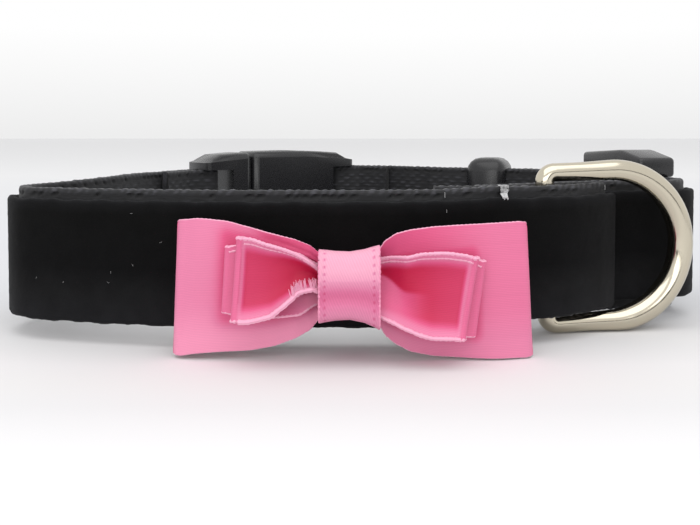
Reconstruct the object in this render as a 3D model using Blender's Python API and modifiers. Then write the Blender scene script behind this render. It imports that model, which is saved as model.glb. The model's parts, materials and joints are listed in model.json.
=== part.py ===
"""A cat collar: a closed loop of webbing faced with velvet ribbon, standing on its edge, with a satin bow,
a D-ring, a slider, a keeper and a fastened buckle.

+X is to the right of the bow, +Y runs away from the bow to the back of the loop, +Z is up. The origin is on
the surface that the collar stands on, under the middle of its outline. Plan places are in millimetres from
the middle of the bow, at the velvet's front face, and plan() moves them to the origin.
"""

import math
from collections import namedtuple

import bmesh
import bpy
from mathutils import Vector

MM = 0.001
SHARP_DEG = 40

# The middle of the outline, from the middle of the bow
CENTRE_X = 2.011
CENTRE_Y = 29.175

# The strap: its webbing, the velvet ribbon on it, the gap that neighbours keep, how far a cutter runs past
# what it cuts, and how finely a strap's line is stepped
WEBBING_WIDTH = 15.0
WEBBING_THICK = 1.3
VELVET_WIDTH = 13.6
VELVET_THICK = 1.0
VELVET_TOP_MARGIN = 1.1
STRAP_BOTTOM = 2.55
GAP = 0.3
CUT_PAST = 1.0
STRAP_STEP = 1.5
FINE_STEP = 0.2
SPAN_STEPS = 16
FOLD_STEPS = 8
FOLD_MEETS = 4.5

# Where the straps run, seen from above
PLUG_BAR = (-24.25, 46.2)
SOCKET_BAR = (-2.25, 64.1)
FRONT_RUN = [
    (-31.3, 33.5), (-33.6, 25.5), (-36.4, 18.0), (-38.7, 13.2), (-39.0, 9.4), (-37.2, 6.9), (-34.2, 5.6),
    (-27.6, 3.9), (-19.5, 2.6), (-9.0, 1.95), (0.0, 1.95), (12.0, 2.2), (22.9, 4.75), (27.2, 7.4),
    (30.3, 10.3),
]
SIDE_RUN = [
    (9.5, 3.78), (14.0, 4.35), (17.6, 6.2), (21.3, 8.7), (25.0, 10.7), (28.3, 12.7), (32.6, 14.1),
    (37.2, 14.7), (40.8, 16.0), (43.1, 18.7),
]
BACK_RUN = [
    (35.25, 40.9), (33.5, 45.8), (30.4, 49.5), (26.2, 51.9), (20.2, 54.2), (12.8, 58.1), (6.8, 62.4),
]
PLUG_TAB = 11.0
SOCKET_TAB = 10.5
SLIDER_TAB = 5.0
TAIL = 40.0
VELVET_TUCK = 2.5
VELVET_SHORT_OF_BAR = 3.2
VELVET_SHORT_OF_SLIDER = 1.0

# The slider, on the right side of the loop
SLIDER_CENTRE = (39.25, 28.4)
SLIDER_HEADING_DEG = 103.5
SLIDER_LENGTH = 14.4
SLIDER_HEIGHT = 20.8
SLIDER_THICK = 4.6
SLIDER_RAIL = 2.2
SLIDER_ROUNDING = 0.9
BAR_THICK = 1.8
BAR_ROOT = 1.0
BAR_SIDES = 12

# The keeper, at the back right
KEEPER_CENTRE = (24.09, 52.54)
KEEPER_HEADING_DEG = 156.0
KEEPER_LENGTH = 5.4
KEEPER_WALL = 1.6
KEEPER_CLEAR_HEIGHT = 15.6
KEEPER_CLEAR_DEPTH = 5.2
KEEPER_BOTTOM = 0.65
KEEPER_ROUNDING = 0.7

# The buckle, at the back left
BUCKLE_LENGTH = 30.56
BUCKLE_END_HEIGHT = 19.0
BUCKLE_MIDDLE_HEIGHT = 20.6
BUCKLE_THICK = 7.0
BUCKLE_ROUNDING = 1.0
BUCKLE_SLOT_HEIGHT = 16.0
BUCKLE_SLOT_LENGTH = 4.9
BUCKLE_BAR_INSET = 1.1
PLUG_LENGTH = 8.6
CAVITY_END = 8.5
CAVITY_HEIGHT = 14.8
CAVITY_DEPTH = 4.2
WINDOW_START = 0.0
WINDOW_END = 6.6
PRONG_ROOT = 1.5
PRONG_INNER = 4.4
PRONG_OUTER = 7.0
PRONG_END = 6.1
PRONG_HEAD_INNER = 5.8
PRONG_HEAD_SINK = 0.25
TONGUE_WIDTH = 2.6
TONGUE_END = 5.8
PLUG_SLICES = 3
SOCKET_SLICES = 6

# The D-ring beside the bow
RING_WIRE = 2.15
RING_CLEAR_HEIGHT = 15.7
RING_SPREAD = 0.25
RING_LEG = 8.3
RING_CORNER = 1.9
RING_BAR = (22.9, 7.0)
RING_SWING_DEG = 10.0
RING_TILT_DEG = -1.5
RING_ARC_STEPS = 14
RING_CORNER_STEPS = 3
RING_ROUNDNESS = 4

# The bow
RIBBON_THICK = 1.0
SEAM_REACH = 0.01
KNOT_WIDTH = 6.1
KNOT_BACK = -0.8
KNOT_FRONT = -7.5
KNOT_BOTTOM = 5.0
KNOT_TOP = 11.3
KNOT_ROUNDING = 1.6
KNOT_CORNER_STEPS = 4

# A crossing of a bow ribbon: how far across, its two edges' heights, how far forward of the velvet its
# middle lies, and how much further forward its edges curl
Crossing = namedtuple("Crossing", "across bottom top forward curl")

BACK_RIBBON_FRONT = [
    Crossing(-17.6, 0.6, 14.3, 4.0, 0.0),
    Crossing(-13.8, 0.9, 14.4, 4.3, 0.0),
    Crossing(-9.1, 1.4, 13.4, 4.3, 0.0),
    Crossing(-6.4, 2.0, 12.7, 4.1, 0.0),
    Crossing(-4.3, 3.2, 11.8, 3.8, 0.0),
    Crossing(-3.2, 6.1, 10.2, 3.5, 0.0),
    Crossing(0.0, 6.1, 10.2, 3.45, 0.0),
    Crossing(3.2, 6.1, 10.2, 3.5, 0.0),
    Crossing(4.3, 2.2, 12.6, 3.8, 0.0),
    Crossing(6.2, 1.2, 13.5, 4.1, 0.0),
    Crossing(8.7, 0.7, 13.8, 4.3, 0.0),
    Crossing(14.2, 0.5, 14.1, 4.3, 0.0),
    Crossing(17.8, 0.5, 14.3, 4.0, 0.0),
]
BACK_RIBBON_BEHIND = [
    Crossing(-17.6, 0.6, 14.3, 2.1, 0.0),
    Crossing(-9.1, 1.4, 13.4, 1.8, 0.0),
    Crossing(-4.3, 3.2, 11.8, 1.9, 0.0),
    Crossing(-3.2, 6.1, 10.2, 2.15, 0.0),
    Crossing(3.2, 6.1, 10.2, 2.15, 0.0),
    Crossing(4.3, 2.2, 12.6, 1.9, 0.0),
    Crossing(8.7, 0.7, 13.8, 1.8, 0.0),
    Crossing(17.8, 0.5, 14.3, 2.1, 0.0),
]
MIDDLE_RIBBON = [
    Crossing(-13.2, 4.6, 12.1, 5.55, 0.5),
    Crossing(-8.5, 4.6, 12.2, 5.55, 0.6),
    Crossing(-5.4, 5.2, 11.3, 5.35, 0.8),
    Crossing(-3.2, 6.2, 10.2, 4.75, 0.0),
    Crossing(0.0, 6.3, 10.1, 4.75, 0.0),
    Crossing(3.2, 6.2, 10.2, 4.75, 0.0),
    Crossing(5.4, 4.6, 11.2, 5.35, 0.8),
    Crossing(8.5, 3.6, 11.2, 5.6, 1.0),
    Crossing(13.7, 3.1, 10.6, 5.6, 0.9),
]
FRONT_RIBBON = [
    Crossing(-11.5, 5.0, 13.1, 6.9, 1.2),
    Crossing(-8.3, 5.2, 12.6, 6.9, 1.4),
    Crossing(-5.4, 6.4, 11.6, 6.95, 1.2),
    Crossing(-3.2, 6.4, 10.1, 6.1, 0.0),
    Crossing(0.0, 6.4, 10.0, 6.1, 0.0),
    Crossing(3.2, 6.3, 10.1, 6.1, 0.0),
    Crossing(5.2, 4.4, 11.1, 6.95, 1.2),
    Crossing(8.5, 3.3, 11.7, 6.9, 1.4),
    Crossing(12.1, 3.1, 11.2, 6.9, 1.2),
]
LOOP_FRONT_STEP = 1.3
LOOP_BEHIND_STEP = 2.2
NARROW_STEP = 1.15
ROWS_UP_RIBBON = 4
END_FOLD_STEPS = 3


def fresh_scene():
    """Empties the scene and adds the collections for the collar and for its cutters."""
    for item in list(bpy.data.objects):
        bpy.data.objects.remove(item, do_unlink=True)
    made = []
    for name in ("cat_collar", "cutters"):
        collection = bpy.data.collections.new(name)
        bpy.context.scene.collection.children.link(collection)
        made.append(collection)
    made[1].hide_render = True
    return made


PARTS, CUTTERS = fresh_scene()


def material(name, colour, roughness, metallic=0.0):
    made = bpy.data.materials.new(name)
    made.use_nodes = True
    shader = made.node_tree.nodes["Principled BSDF"]
    shader.inputs["Base Color"].default_value = (*colour, 1.0)
    shader.inputs["Roughness"].default_value = roughness
    shader.inputs["Metallic"].default_value = metallic
    made.diffuse_color = (*colour, 1.0)
    return made


BLACK_WEBBING = material("black_polypropylene_webbing", (0.030, 0.030, 0.033), 0.75)
BLACK_VELVET = material("black_velvet_ribbon", (0.008, 0.008, 0.008), 0.95)
BLACK_ACETAL = material("black_acetal", (0.018, 0.018, 0.020), 0.35)
BRIGHT_NICKEL = material("bright_nickel_plate", (0.78, 0.74, 0.68), 0.12, 1.0)
PINK_SATIN = material("pink_satin_ribbon", (0.85, 0.20, 0.42), 0.45)


def plan(place, height=0.0):
    """A plan place and a height in millimetres, as a point in metres from the origin."""
    return Vector(((place[0] - CENTRE_X) * MM, (place[1] - CENTRE_Y) * MM, height * MM))


def add_object(name, data, look, collection=PARTS, parent=None):
    made = bpy.data.objects.new(name, data)
    collection.objects.link(made)
    if look:
        data.materials.append(look)
    made.parent = parent
    return made


def add_empty(name, place, heading_deg, height):
    """An empty whose X axis runs along a heading in plan, for what is built on it."""
    made = add_object(name, None, None)
    made.location = plan(place, height)
    made.rotation_euler = (0.0, 0.0, math.radians(heading_deg))
    return made


def mesh_from(bm, name):
    bmesh.ops.recalc_face_normals(bm, faces=bm.faces)
    data = bpy.data.meshes.new(name)
    bm.to_mesh(data)
    bm.free()
    return data


def add_modifier(target, kind, **settings):
    modifier = target.modifiers.new(kind.title(), kind)
    for key, value in settings.items():
        setattr(modifier, key, value)


def round_edges(target, width):
    add_modifier(target, "BEVEL", width=width * MM, segments=2, angle_limit=math.radians(SHARP_DEG))


def boolean(target, other, operation="DIFFERENCE"):
    add_modifier(target, "BOOLEAN", operation=operation, solver="EXACT", object=other)


def block(name, low, high, look=None, collection=CUTTERS, parent=None):
    """A box between two corners in millimetres, in its parent's frame."""
    bm = bmesh.new()
    bmesh.ops.create_cube(bm, size=1.0)
    for vert in bm.verts:
        for axis in range(3):
            vert.co[axis] = (low[axis] if vert.co[axis] < 0 else high[axis]) * MM
    made = add_object(name, mesh_from(bm, name), look, collection, parent)
    if collection is CUTTERS:
        made.hide_render = True
        made.display_type = "WIRE"
    return made


# Lines in plan


def smooth_line(places, step):
    """Points about a step apart on a smooth curve through the places."""
    knots = [Vector(p) for p in places]
    knots = [2 * knots[0] - knots[1], *knots, 2 * knots[-1] - knots[-2]]
    fine = []
    for before, start, end, after in zip(knots, knots[1:], knots[2:], knots[3:]):
        gaps = [math.sqrt((b - a).length) for a, b in ((before, start), (start, end), (end, after))]
        leave = (start - before) / gaps[0] - (end - before) / (gaps[0] + gaps[1]) + (end - start) / gaps[1]
        arrive = (end - start) / gaps[1] - (after - start) / (gaps[1] + gaps[2]) + (after - end) / gaps[2]
        for k in range(SPAN_STEPS):
            t = k / SPAN_STEPS
            fine.append(
                (2 * t**3 - 3 * t**2 + 1) * start + (t**3 - 2 * t**2 + t) * leave * gaps[1]
                + (3 * t**2 - 2 * t**3) * end + (t**3 - t**2) * arrive * gaps[1]
            )
    fine.append(knots[-2])
    return spaced(fine, step)


def spaced(line, step):
    """The line again, with its points evenly apart."""
    lengths = [(b - a).length for a, b in zip(line, line[1:])]
    count = max(2, round(sum(lengths) / step))
    pitch = sum(lengths) / count
    found, walked, k = [line[0]], 0.0, 0
    for n in range(1, count):
        while walked + lengths[k] < n * pitch:
            walked += lengths[k]
            k += 1
        found.append(line[k].lerp(line[k + 1], (n * pitch - walked) / lengths[k]))
    return [*found, line[-1]]


def outward_at(line, k):
    """The unit normal that points out of the loop, which is on the right of a line that runs round it
    from the buckle's plug by the front to its socket."""
    along = (line[min(k + 1, len(line) - 1)] - line[max(k - 1, 0)]).normalized()
    return Vector((along.y, -along.x))


def beside(line, distance):
    """A line outside another, or inside it where the distance is negative."""
    return [point + outward_at(line, k) * distance for k, point in enumerate(line)]


def trimmed(line, start, end):
    """The stretch of a line between a distance from its start and a distance from its end."""
    total = sum((b - a).length for a, b in zip(line, line[1:]))
    fine = spaced(line, FINE_STEP)
    pitch = total / (len(fine) - 1)
    kept = fine[round(start / pitch): len(fine) - round(end / pitch)]
    return spaced(kept, STRAP_STEP)


def beside_bar(bar, place, way):
    """Where a strap's middle lies beside a bar, on its outer side. way is 1 for a run that goes to the bar
    from the place, and -1 for one that leaves the bar for it."""
    heading = (Vector(bar) - Vector(place)).normalized() * way
    reach = BAR_THICK / 2 + GAP + WEBBING_THICK / 2
    return Vector(bar) + Vector((heading.y, -heading.x)) * reach


def fold_and_tab(run, bar, tab_length):
    """What follows the end of a run: round its bar, and back along the run's inner side. A run that leaves
    its bar is passed reversed."""
    centre = Vector(bar)
    out = run[-1] - centre
    ahead = Vector((-out.y, out.x))
    if ahead.dot(run[-1] - run[-2]) < 0:
        ahead = -ahead
    angles = [math.pi * k / FOLD_STEPS for k in range(1, FOLD_STEPS)]
    arc = [centre + out * math.cos(angle) + ahead * math.sin(angle) for angle in angles]
    back = spaced(run[::-1], STRAP_STEP)
    inner = [centre - out]
    for k in range(round(FOLD_MEETS / STRAP_STEP), round(tab_length / STRAP_STEP) + 1):
        along = (back[k + 1] - back[k - 1]).normalized()
        across = Vector((along.y, -along.x))
        if across.dot(out) > 0:
            across = -across
        inner.append(back[k] + across * (WEBBING_THICK + GAP))
    return arc, smooth_line(inner, STRAP_STEP)


def strap(name, line, width, thick, bottom, look):
    """A flat strap on its edge, along a line in plan."""
    curve = bpy.data.curves.new(name, "CURVE")
    curve.dimensions = "2D"
    curve.fill_mode = "NONE"
    curve.extrude = width / 2 * MM
    spline = curve.splines.new("POLY")
    spline.points.add(len(line) - 1)
    for point, place in zip(spline.points, line):
        point.co = (*plan(place).xy, 0.0, 1.0)
    made = add_object(name, curve, look)
    made.location = (0.0, 0.0, (bottom + width / 2) * MM)
    add_modifier(made, "SOLIDIFY", thickness=thick * MM, offset=0.0, use_even_offset=True)


def webbing(name, line):
    strap(name, line, WEBBING_WIDTH, WEBBING_THICK, STRAP_BOTTOM, BLACK_WEBBING)


def velvet(name, line):
    bottom = STRAP_BOTTOM + WEBBING_WIDTH - VELVET_TOP_MARGIN - VELVET_WIDTH
    strap(name, line, VELVET_WIDTH, VELVET_THICK, bottom, BLACK_VELVET)


def make_straps():
    pile = (WEBBING_THICK + VELVET_THICK) / 2 + GAP
    front = smooth_line([beside_bar(PLUG_BAR, FRONT_RUN[0], -1), *FRONT_RUN], STRAP_STEP)
    arc, tab = fold_and_tab(front[::-1], PLUG_BAR, PLUG_TAB)
    webbing("front_webbing", [*tab[::-1], *arc[::-1], *front])
    velvet("front_velvet", trimmed(beside(front, pile), VELVET_SHORT_OF_BAR, 0.0))

    turn = math.radians(SLIDER_HEADING_DEG)
    heading = Vector((math.cos(turn), math.sin(turn)))
    outward = Vector((heading.y, -heading.x))
    centre = Vector(SLIDER_CENTRE)
    end_bar = (SLIDER_LENGTH - BAR_THICK) / 2
    clear_of_bar = BAR_THICK / 2 + GAP + WEBBING_THICK / 2
    near_bar = centre - heading * end_bar
    side = smooth_line([*SIDE_RUN, near_bar + outward * clear_of_bar], STRAP_STEP)
    arc, tab = fold_and_tab(side, near_bar, SLIDER_TAB)
    webbing("side_webbing", [*side, *arc, *tab])
    lap_end = Vector(FRONT_RUN[-1])
    nearest = min(range(len(side)), key=lambda k: (side[k] - lap_end).length)
    before_lap = sum((b - a).length for a, b in zip(side[:nearest], side[1:nearest + 1]))
    velvet("side_velvet", trimmed(beside(side, pile), before_lap - VELVET_TUCK, VELVET_SHORT_OF_BAR))

    slant = math.asin(2 * clear_of_bar / end_bar)
    across = outward * math.cos(slant) + heading * math.sin(slant)
    over_bar = centre + across * clear_of_bar
    under_bar = centre + heading * end_bar - across * clear_of_bar
    back = smooth_line([over_bar, under_bar, *BACK_RUN, beside_bar(SOCKET_BAR, BACK_RUN[-1], 1)], STRAP_STEP)
    arc, tab = fold_and_tab(back, SOCKET_BAR, SOCKET_TAB)
    tail_arc, tail = fold_and_tab(back[::-1], SLIDER_CENTRE, TAIL)
    webbing("back_webbing", [*tail[::-1], *tail_arc[::-1], *back, *arc, *tab])
    past_slider = end_bar + BAR_THICK + VELVET_SHORT_OF_SLIDER
    velvet("back_velvet", trimmed(beside(back, pile), past_slider, VELVET_SHORT_OF_BAR))


# Fittings


def upright_bar(name, x, half_height, parent):
    """A round bar that a strap folds over, to be joined to the piece that holds it."""
    bm = bmesh.new()
    bmesh.ops.create_cone(bm, cap_ends=True, segments=BAR_SIDES, radius1=BAR_THICK / 2 * MM,
                          radius2=BAR_THICK / 2 * MM, depth=2 * half_height * MM)
    bmesh.ops.translate(bm, verts=bm.verts, vec=(x * MM, 0.0, 0.0))
    made = add_object(name, mesh_from(bm, name), None, CUTTERS, parent)
    made.hide_render = True
    made.display_type = "WIRE"
    return made


def make_slider():
    place = add_empty("slider_place", SLIDER_CENTRE, SLIDER_HEADING_DEG, SLIDER_HEIGHT / 2)
    half = (SLIDER_LENGTH / 2, SLIDER_THICK / 2, SLIDER_HEIGHT / 2)
    slider = block("slider", [-h for h in half], half, BLACK_ACETAL, PARTS, place)
    round_edges(slider, SLIDER_ROUNDING)
    inside = half[2] - SLIDER_RAIL
    clear = (half[0] + CUT_PAST, half[1] + CUT_PAST, inside)
    boolean(slider, block("slider_clear", [-c for c in clear], clear, parent=place))
    end_bar = half[0] - BAR_THICK / 2
    for name, x in (("near", -end_bar), ("middle", 0.0), ("far", end_bar)):
        boolean(slider, upright_bar(f"slider_{name}_bar", x, inside + BAR_ROOT, place), "UNION")


def make_keeper():
    height = KEEPER_CLEAR_HEIGHT + 2 * KEEPER_WALL
    place = add_empty("keeper_place", KEEPER_CENTRE, KEEPER_HEADING_DEG, KEEPER_BOTTOM + height / 2)
    half = (KEEPER_LENGTH / 2, KEEPER_CLEAR_DEPTH / 2 + KEEPER_WALL, height / 2)
    keeper = block("strap_keeper", [-h for h in half], half, BLACK_ACETAL, PARTS, place)
    round_edges(keeper, KEEPER_ROUNDING)
    clear = (half[0] + CUT_PAST, KEEPER_CLEAR_DEPTH / 2, KEEPER_CLEAR_HEIGHT / 2)
    boolean(keeper, block("keeper_clear", [-c for c in clear], clear, parent=place))


def buckle_half_height(x):
    """Half of the buckle's height, which swells towards its middle."""
    share = 1 - (2 * x / BUCKLE_LENGTH) ** 2
    return (BUCKLE_END_HEIGHT + (BUCKLE_MIDDLE_HEIGHT - BUCKLE_END_HEIGHT) * share) / 2


def buckle_body(name, start, end, place, slices):
    """A stretch of the buckle's barrel outline, with rounded edges."""
    made = block(name, (start, -BUCKLE_THICK / 2, -1), (end, BUCKLE_THICK / 2, 1), BLACK_ACETAL, PARTS, place)
    bm = bmesh.new()
    bm.from_mesh(made.data)
    for k in range(1, slices):
        cut = start + (end - start) * k / slices
        bmesh.ops.bisect_plane(bm, geom=[*bm.verts, *bm.edges, *bm.faces], plane_co=(cut * MM, 0, 0),
                               plane_no=(1, 0, 0))
    for vert in bm.verts:
        vert.co.z = math.copysign(buckle_half_height(vert.co.x / MM) * MM, vert.co.z)
    bm.to_mesh(made.data)
    bm.free()
    round_edges(made, BUCKLE_ROUNDING)
    return made


def make_buckle():
    start, end = Vector(PLUG_BAR), Vector(SOCKET_BAR)
    along = end - start
    place = add_empty("buckle_place", (start + end) / 2, math.degrees(math.atan2(along.y, along.x)),
                      BUCKLE_MIDDLE_HEIGHT / 2)
    half = BUCKLE_LENGTH / 2
    through = BUCKLE_THICK / 2 + CUT_PAST
    plug_face = PLUG_LENGTH - half

    plug = buckle_body("buckle_plug", -half, plug_face, place, PLUG_SLICES)
    slot = BUCKLE_SLOT_HEIGHT / 2
    boolean(plug, block("plug_slot", (-half - CUT_PAST, -through, -slot),
                        (BUCKLE_SLOT_LENGTH - half, through, slot), parent=place))
    boolean(plug, upright_bar("plug_bar", BUCKLE_BAR_INSET - half, slot + BAR_ROOT, place), "UNION")
    sides = CAVITY_DEPTH / 2 - GAP
    root = plug_face - PRONG_ROOT
    tongue = TONGUE_WIDTH / 2
    middle = block("plug_tongue", (root, -sides, -tongue), (TONGUE_END, sides, tongue), parent=place)
    boolean(plug, middle, "UNION")
    head = (WINDOW_START + GAP, WINDOW_END - GAP)
    for name, way in (("upper", 1), ("lower", -1)):
        low, high = sorted((way * PRONG_INNER, way * PRONG_OUTER))
        prong = block(f"{name}_prong", (root, -sides, low), (PRONG_END, sides, high), parent=place)
        boolean(plug, prong, "UNION")
        low, high = sorted((way * PRONG_HEAD_INNER, way * (buckle_half_height(head[1]) - PRONG_HEAD_SINK)))
        prong_head = block(f"{name}_prong_head", (head[0], -sides, low), (head[1], sides, high), parent=place)
        boolean(plug, prong_head, "UNION")

    socket = buckle_body("buckle_socket", plug_face + GAP, half, place, SOCKET_SLICES)
    boolean(socket, block("socket_slot", (half - BUCKLE_SLOT_LENGTH, -through, -slot),
                          (half + CUT_PAST, through, slot), parent=place))
    boolean(socket, upright_bar("socket_bar", half - BUCKLE_BAR_INSET, slot + BAR_ROOT, place), "UNION")
    boolean(socket, block("socket_cavity", (plug_face - CUT_PAST, -CAVITY_DEPTH / 2, -CAVITY_HEIGHT / 2),
                          (CAVITY_END, CAVITY_DEPTH / 2, CAVITY_HEIGHT / 2), parent=place))
    for name, way in (("upper", 1), ("lower", -1)):
        cut = (CAVITY_HEIGHT / 2 - CUT_PAST, BUCKLE_MIDDLE_HEIGHT / 2 + CUT_PAST)
        low, high = sorted(way * height for height in cut)
        boolean(socket, block(f"{name}_window", (WINDOW_START, -CAVITY_DEPTH / 2, low),
                              (WINDOW_END, CAVITY_DEPTH / 2, high), parent=place))


def arc_points(centre, radius, start_deg, end_deg, steps):
    for k in range(steps + 1):
        angle = math.radians(start_deg + (end_deg - start_deg) * k / steps)
        yield centre[0] + radius * math.cos(angle), centre[1] + radius * math.sin(angle)


def make_ring():
    """The D-ring, bent from wire, with its origin in the middle of its bar, which it swings on. Its legs
    spread a little from the bar to the round."""
    rise = (RING_CLEAR_HEIGHT + RING_WIRE) / 2
    corner = rise - RING_CORNER
    outline = [
        *arc_points((RING_CORNER, -corner), RING_CORNER, 180, 270, RING_CORNER_STEPS),
        *arc_points((RING_LEG, 0.0), rise + RING_SPREAD, -90, 90, RING_ARC_STEPS),
        *arc_points((RING_CORNER, corner), RING_CORNER, 90, 180, RING_CORNER_STEPS),
    ]
    curve = bpy.data.curves.new("d_ring", "CURVE")
    curve.dimensions = "3D"
    curve.bevel_depth = RING_WIRE / 2 * MM
    curve.bevel_resolution = RING_ROUNDNESS
    spline = curve.splines.new("POLY")
    spline.points.add(len(outline) - 1)
    for point, (x, z) in zip(spline.points, outline):
        point.co = (x * MM, 0.0, z * MM, 1.0)
    spline.use_cyclic_u = True
    ring = add_object("d_ring", curve, BRIGHT_NICKEL)
    ring.location = plan(RING_BAR, STRAP_BOTTOM + WEBBING_WIDTH / 2)
    ring.rotation_euler = (0.0, math.radians(RING_TILT_DEG), math.radians(RING_SWING_DEG))


# The bow


def crossing_at(rows, across):
    """The crossing of a ribbon at a place across it, on a smooth curve through the table's rows."""
    k = 0
    while k < len(rows) - 2 and rows[k + 1].across < across:
        k += 1
    start, end = rows[k], rows[k + 1]
    wide = end.across - start.across
    t = (across - start.across) / wide
    found = [across]
    for column in range(1, 5):
        slopes = []
        for at in (k, k + 1):
            before, after = rows[max(at - 1, 0)], rows[min(at + 1, len(rows) - 1)]
            here = rows[at]
            rises = [
                (b[column] - a[column]) / (b.across - a.across)
                for a, b in ((before, here), (here, after)) if b.across > a.across
            ]
            level = len(rises) == 2 and rises[0] * rises[1] <= 0
            slopes.append(0.0 if level else min(rises, key=abs))
        found.append(
            (2 * t**3 - 3 * t**2 + 1) * start[column] + (t**3 - 2 * t**2 + t) * slopes[0] * wide
            + (3 * t**2 - 2 * t**3) * end[column] + (t**3 - t**2) * slopes[1] * wide
        )
    return Crossing(*found)


def crossings(rows, step):
    """The table's crossings, with others between them about a step apart."""
    found = [rows[0]]
    for start, end in zip(rows, rows[1:]):
        wide = end.across - start.across
        count = max(1, round(wide / step))
        found.extend(crossing_at(rows, start.across + wide * k / count) for k in range(1, count + 1))
    return found


def ribbon(name, sections, closed=False):
    """A ribbon wall through its crossings, from a grid with a column for each crossing."""
    columns = len(sections) + (1 if closed else 0)
    bm = bmesh.new()
    bmesh.ops.create_grid(bm, x_segments=columns - 1, y_segments=ROWS_UP_RIBBON, size=1.0)
    for vert in bm.verts:
        section = sections[round((vert.co.x + 1) / 2 * (columns - 1)) % len(sections)]
        share = vert.co.y
        height = section.bottom + (section.top - section.bottom) * (share + 1) / 2
        vert.co = plan((section.across, -(section.forward + section.curl * share**2)), height)
    if closed:
        bmesh.ops.remove_doubles(bm, verts=bm.verts, dist=SEAM_REACH * MM)
    made = add_object(name, mesh_from(bm, name), PINK_SATIN)
    add_modifier(made, "SOLIDIFY", thickness=RIBBON_THICK * MM, offset=0.0, use_even_offset=True)


def end_fold(front, behind, way):
    """The crossings round the folded end of a loop, from its front layer to the one behind."""
    middle = (front.forward + behind.forward) / 2
    radius = (front.forward - behind.forward) / 2
    folded = []
    for k in range(1, END_FOLD_STEPS + 1):
        angle = math.pi * k / (END_FOLD_STEPS + 1)
        folded.append(front._replace(across=front.across + way * radius * math.sin(angle),
                                     forward=middle + radius * math.cos(angle)))
    return folded


def make_bow():
    front = crossings(BACK_RIBBON_FRONT, LOOP_FRONT_STEP)
    behind = crossings(BACK_RIBBON_BEHIND, LOOP_BEHIND_STEP)
    right_end = end_fold(front[-1], behind[-1], 1)
    left_end = end_fold(front[0], behind[0], -1)
    ribbon("bow_back_ribbon", [*front, *right_end, *behind[::-1], *left_end[::-1]], closed=True)
    ribbon("bow_middle_ribbon", crossings(MIDDLE_RIBBON, NARROW_STEP))
    ribbon("bow_front_ribbon", crossings(FRONT_RIBBON, NARROW_STEP))
    make_knot()


def make_knot():
    """The band round the bow's waist, an upright rounded loop drawn out along X."""
    curve = bpy.data.curves.new("bow_knot", "CURVE")
    curve.dimensions = "2D"
    curve.fill_mode = "NONE"
    curve.extrude = KNOT_WIDTH / 2 * MM
    spline = curve.splines.new("POLY")
    near, far = KNOT_FRONT + KNOT_ROUNDING, KNOT_BACK - KNOT_ROUNDING
    low, high = KNOT_BOTTOM + KNOT_ROUNDING, KNOT_TOP - KNOT_ROUNDING
    corners = (((far, high), 0), ((near, high), 90), ((near, low), 180), ((far, low), 270))
    outline = [
        point for centre, start in corners
        for point in arc_points(centre, KNOT_ROUNDING, start, start + 90, KNOT_CORNER_STEPS)
    ]
    spline.points.add(len(outline) - 1)
    for point, (y, z) in zip(spline.points, outline):
        point.co = ((y - CENTRE_Y) * MM, z * MM, 0.0, 1.0)
    spline.use_cyclic_u = True
    knot = add_object("bow_knot", curve, PINK_SATIN)
    knot.location = (-CENTRE_X * MM, 0.0, 0.0)
    knot.rotation_euler = (math.radians(90), 0.0, math.radians(90))
    add_modifier(knot, "SOLIDIFY", thickness=RIBBON_THICK * MM, offset=0.0, use_even_offset=True)


make_straps()
make_slider()
make_keeper()
make_buckle()
make_ring()
make_bow()
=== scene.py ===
import json
import math
from collections import namedtuple
from contextlib import contextmanager

import bmesh
import bpy
import numpy as np
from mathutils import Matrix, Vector

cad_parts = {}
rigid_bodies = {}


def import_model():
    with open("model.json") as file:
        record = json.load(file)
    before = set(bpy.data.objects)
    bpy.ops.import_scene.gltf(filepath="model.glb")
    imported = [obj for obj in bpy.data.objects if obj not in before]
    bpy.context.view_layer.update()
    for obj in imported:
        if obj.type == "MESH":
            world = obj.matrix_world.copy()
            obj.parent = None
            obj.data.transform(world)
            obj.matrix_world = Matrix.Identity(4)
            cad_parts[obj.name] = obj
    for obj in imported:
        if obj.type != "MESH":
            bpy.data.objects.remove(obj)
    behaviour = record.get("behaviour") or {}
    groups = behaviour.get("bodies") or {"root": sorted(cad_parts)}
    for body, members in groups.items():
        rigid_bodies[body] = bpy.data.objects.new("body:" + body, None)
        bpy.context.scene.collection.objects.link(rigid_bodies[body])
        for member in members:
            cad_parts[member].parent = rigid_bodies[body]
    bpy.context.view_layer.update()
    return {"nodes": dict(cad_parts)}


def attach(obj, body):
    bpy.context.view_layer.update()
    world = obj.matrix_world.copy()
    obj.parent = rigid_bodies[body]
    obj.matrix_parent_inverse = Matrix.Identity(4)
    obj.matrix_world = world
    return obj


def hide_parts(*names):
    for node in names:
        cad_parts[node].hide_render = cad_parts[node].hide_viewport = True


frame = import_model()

# The looks of a cat collar: black webbing faced with velvet ribbon, pink satin bow, nickel D-ring, and black
# acetal slider, keeper and buckle. Sizes here are in millimetres, and MM turns them to metres.

MM = 0.001
RANDOM = np.random.default_rng(12)

# The middle of the outline, from the middle of the bow at the velvet's front face
CENTRE_X = 2.011
CENTRE_Y = 29.175

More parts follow.
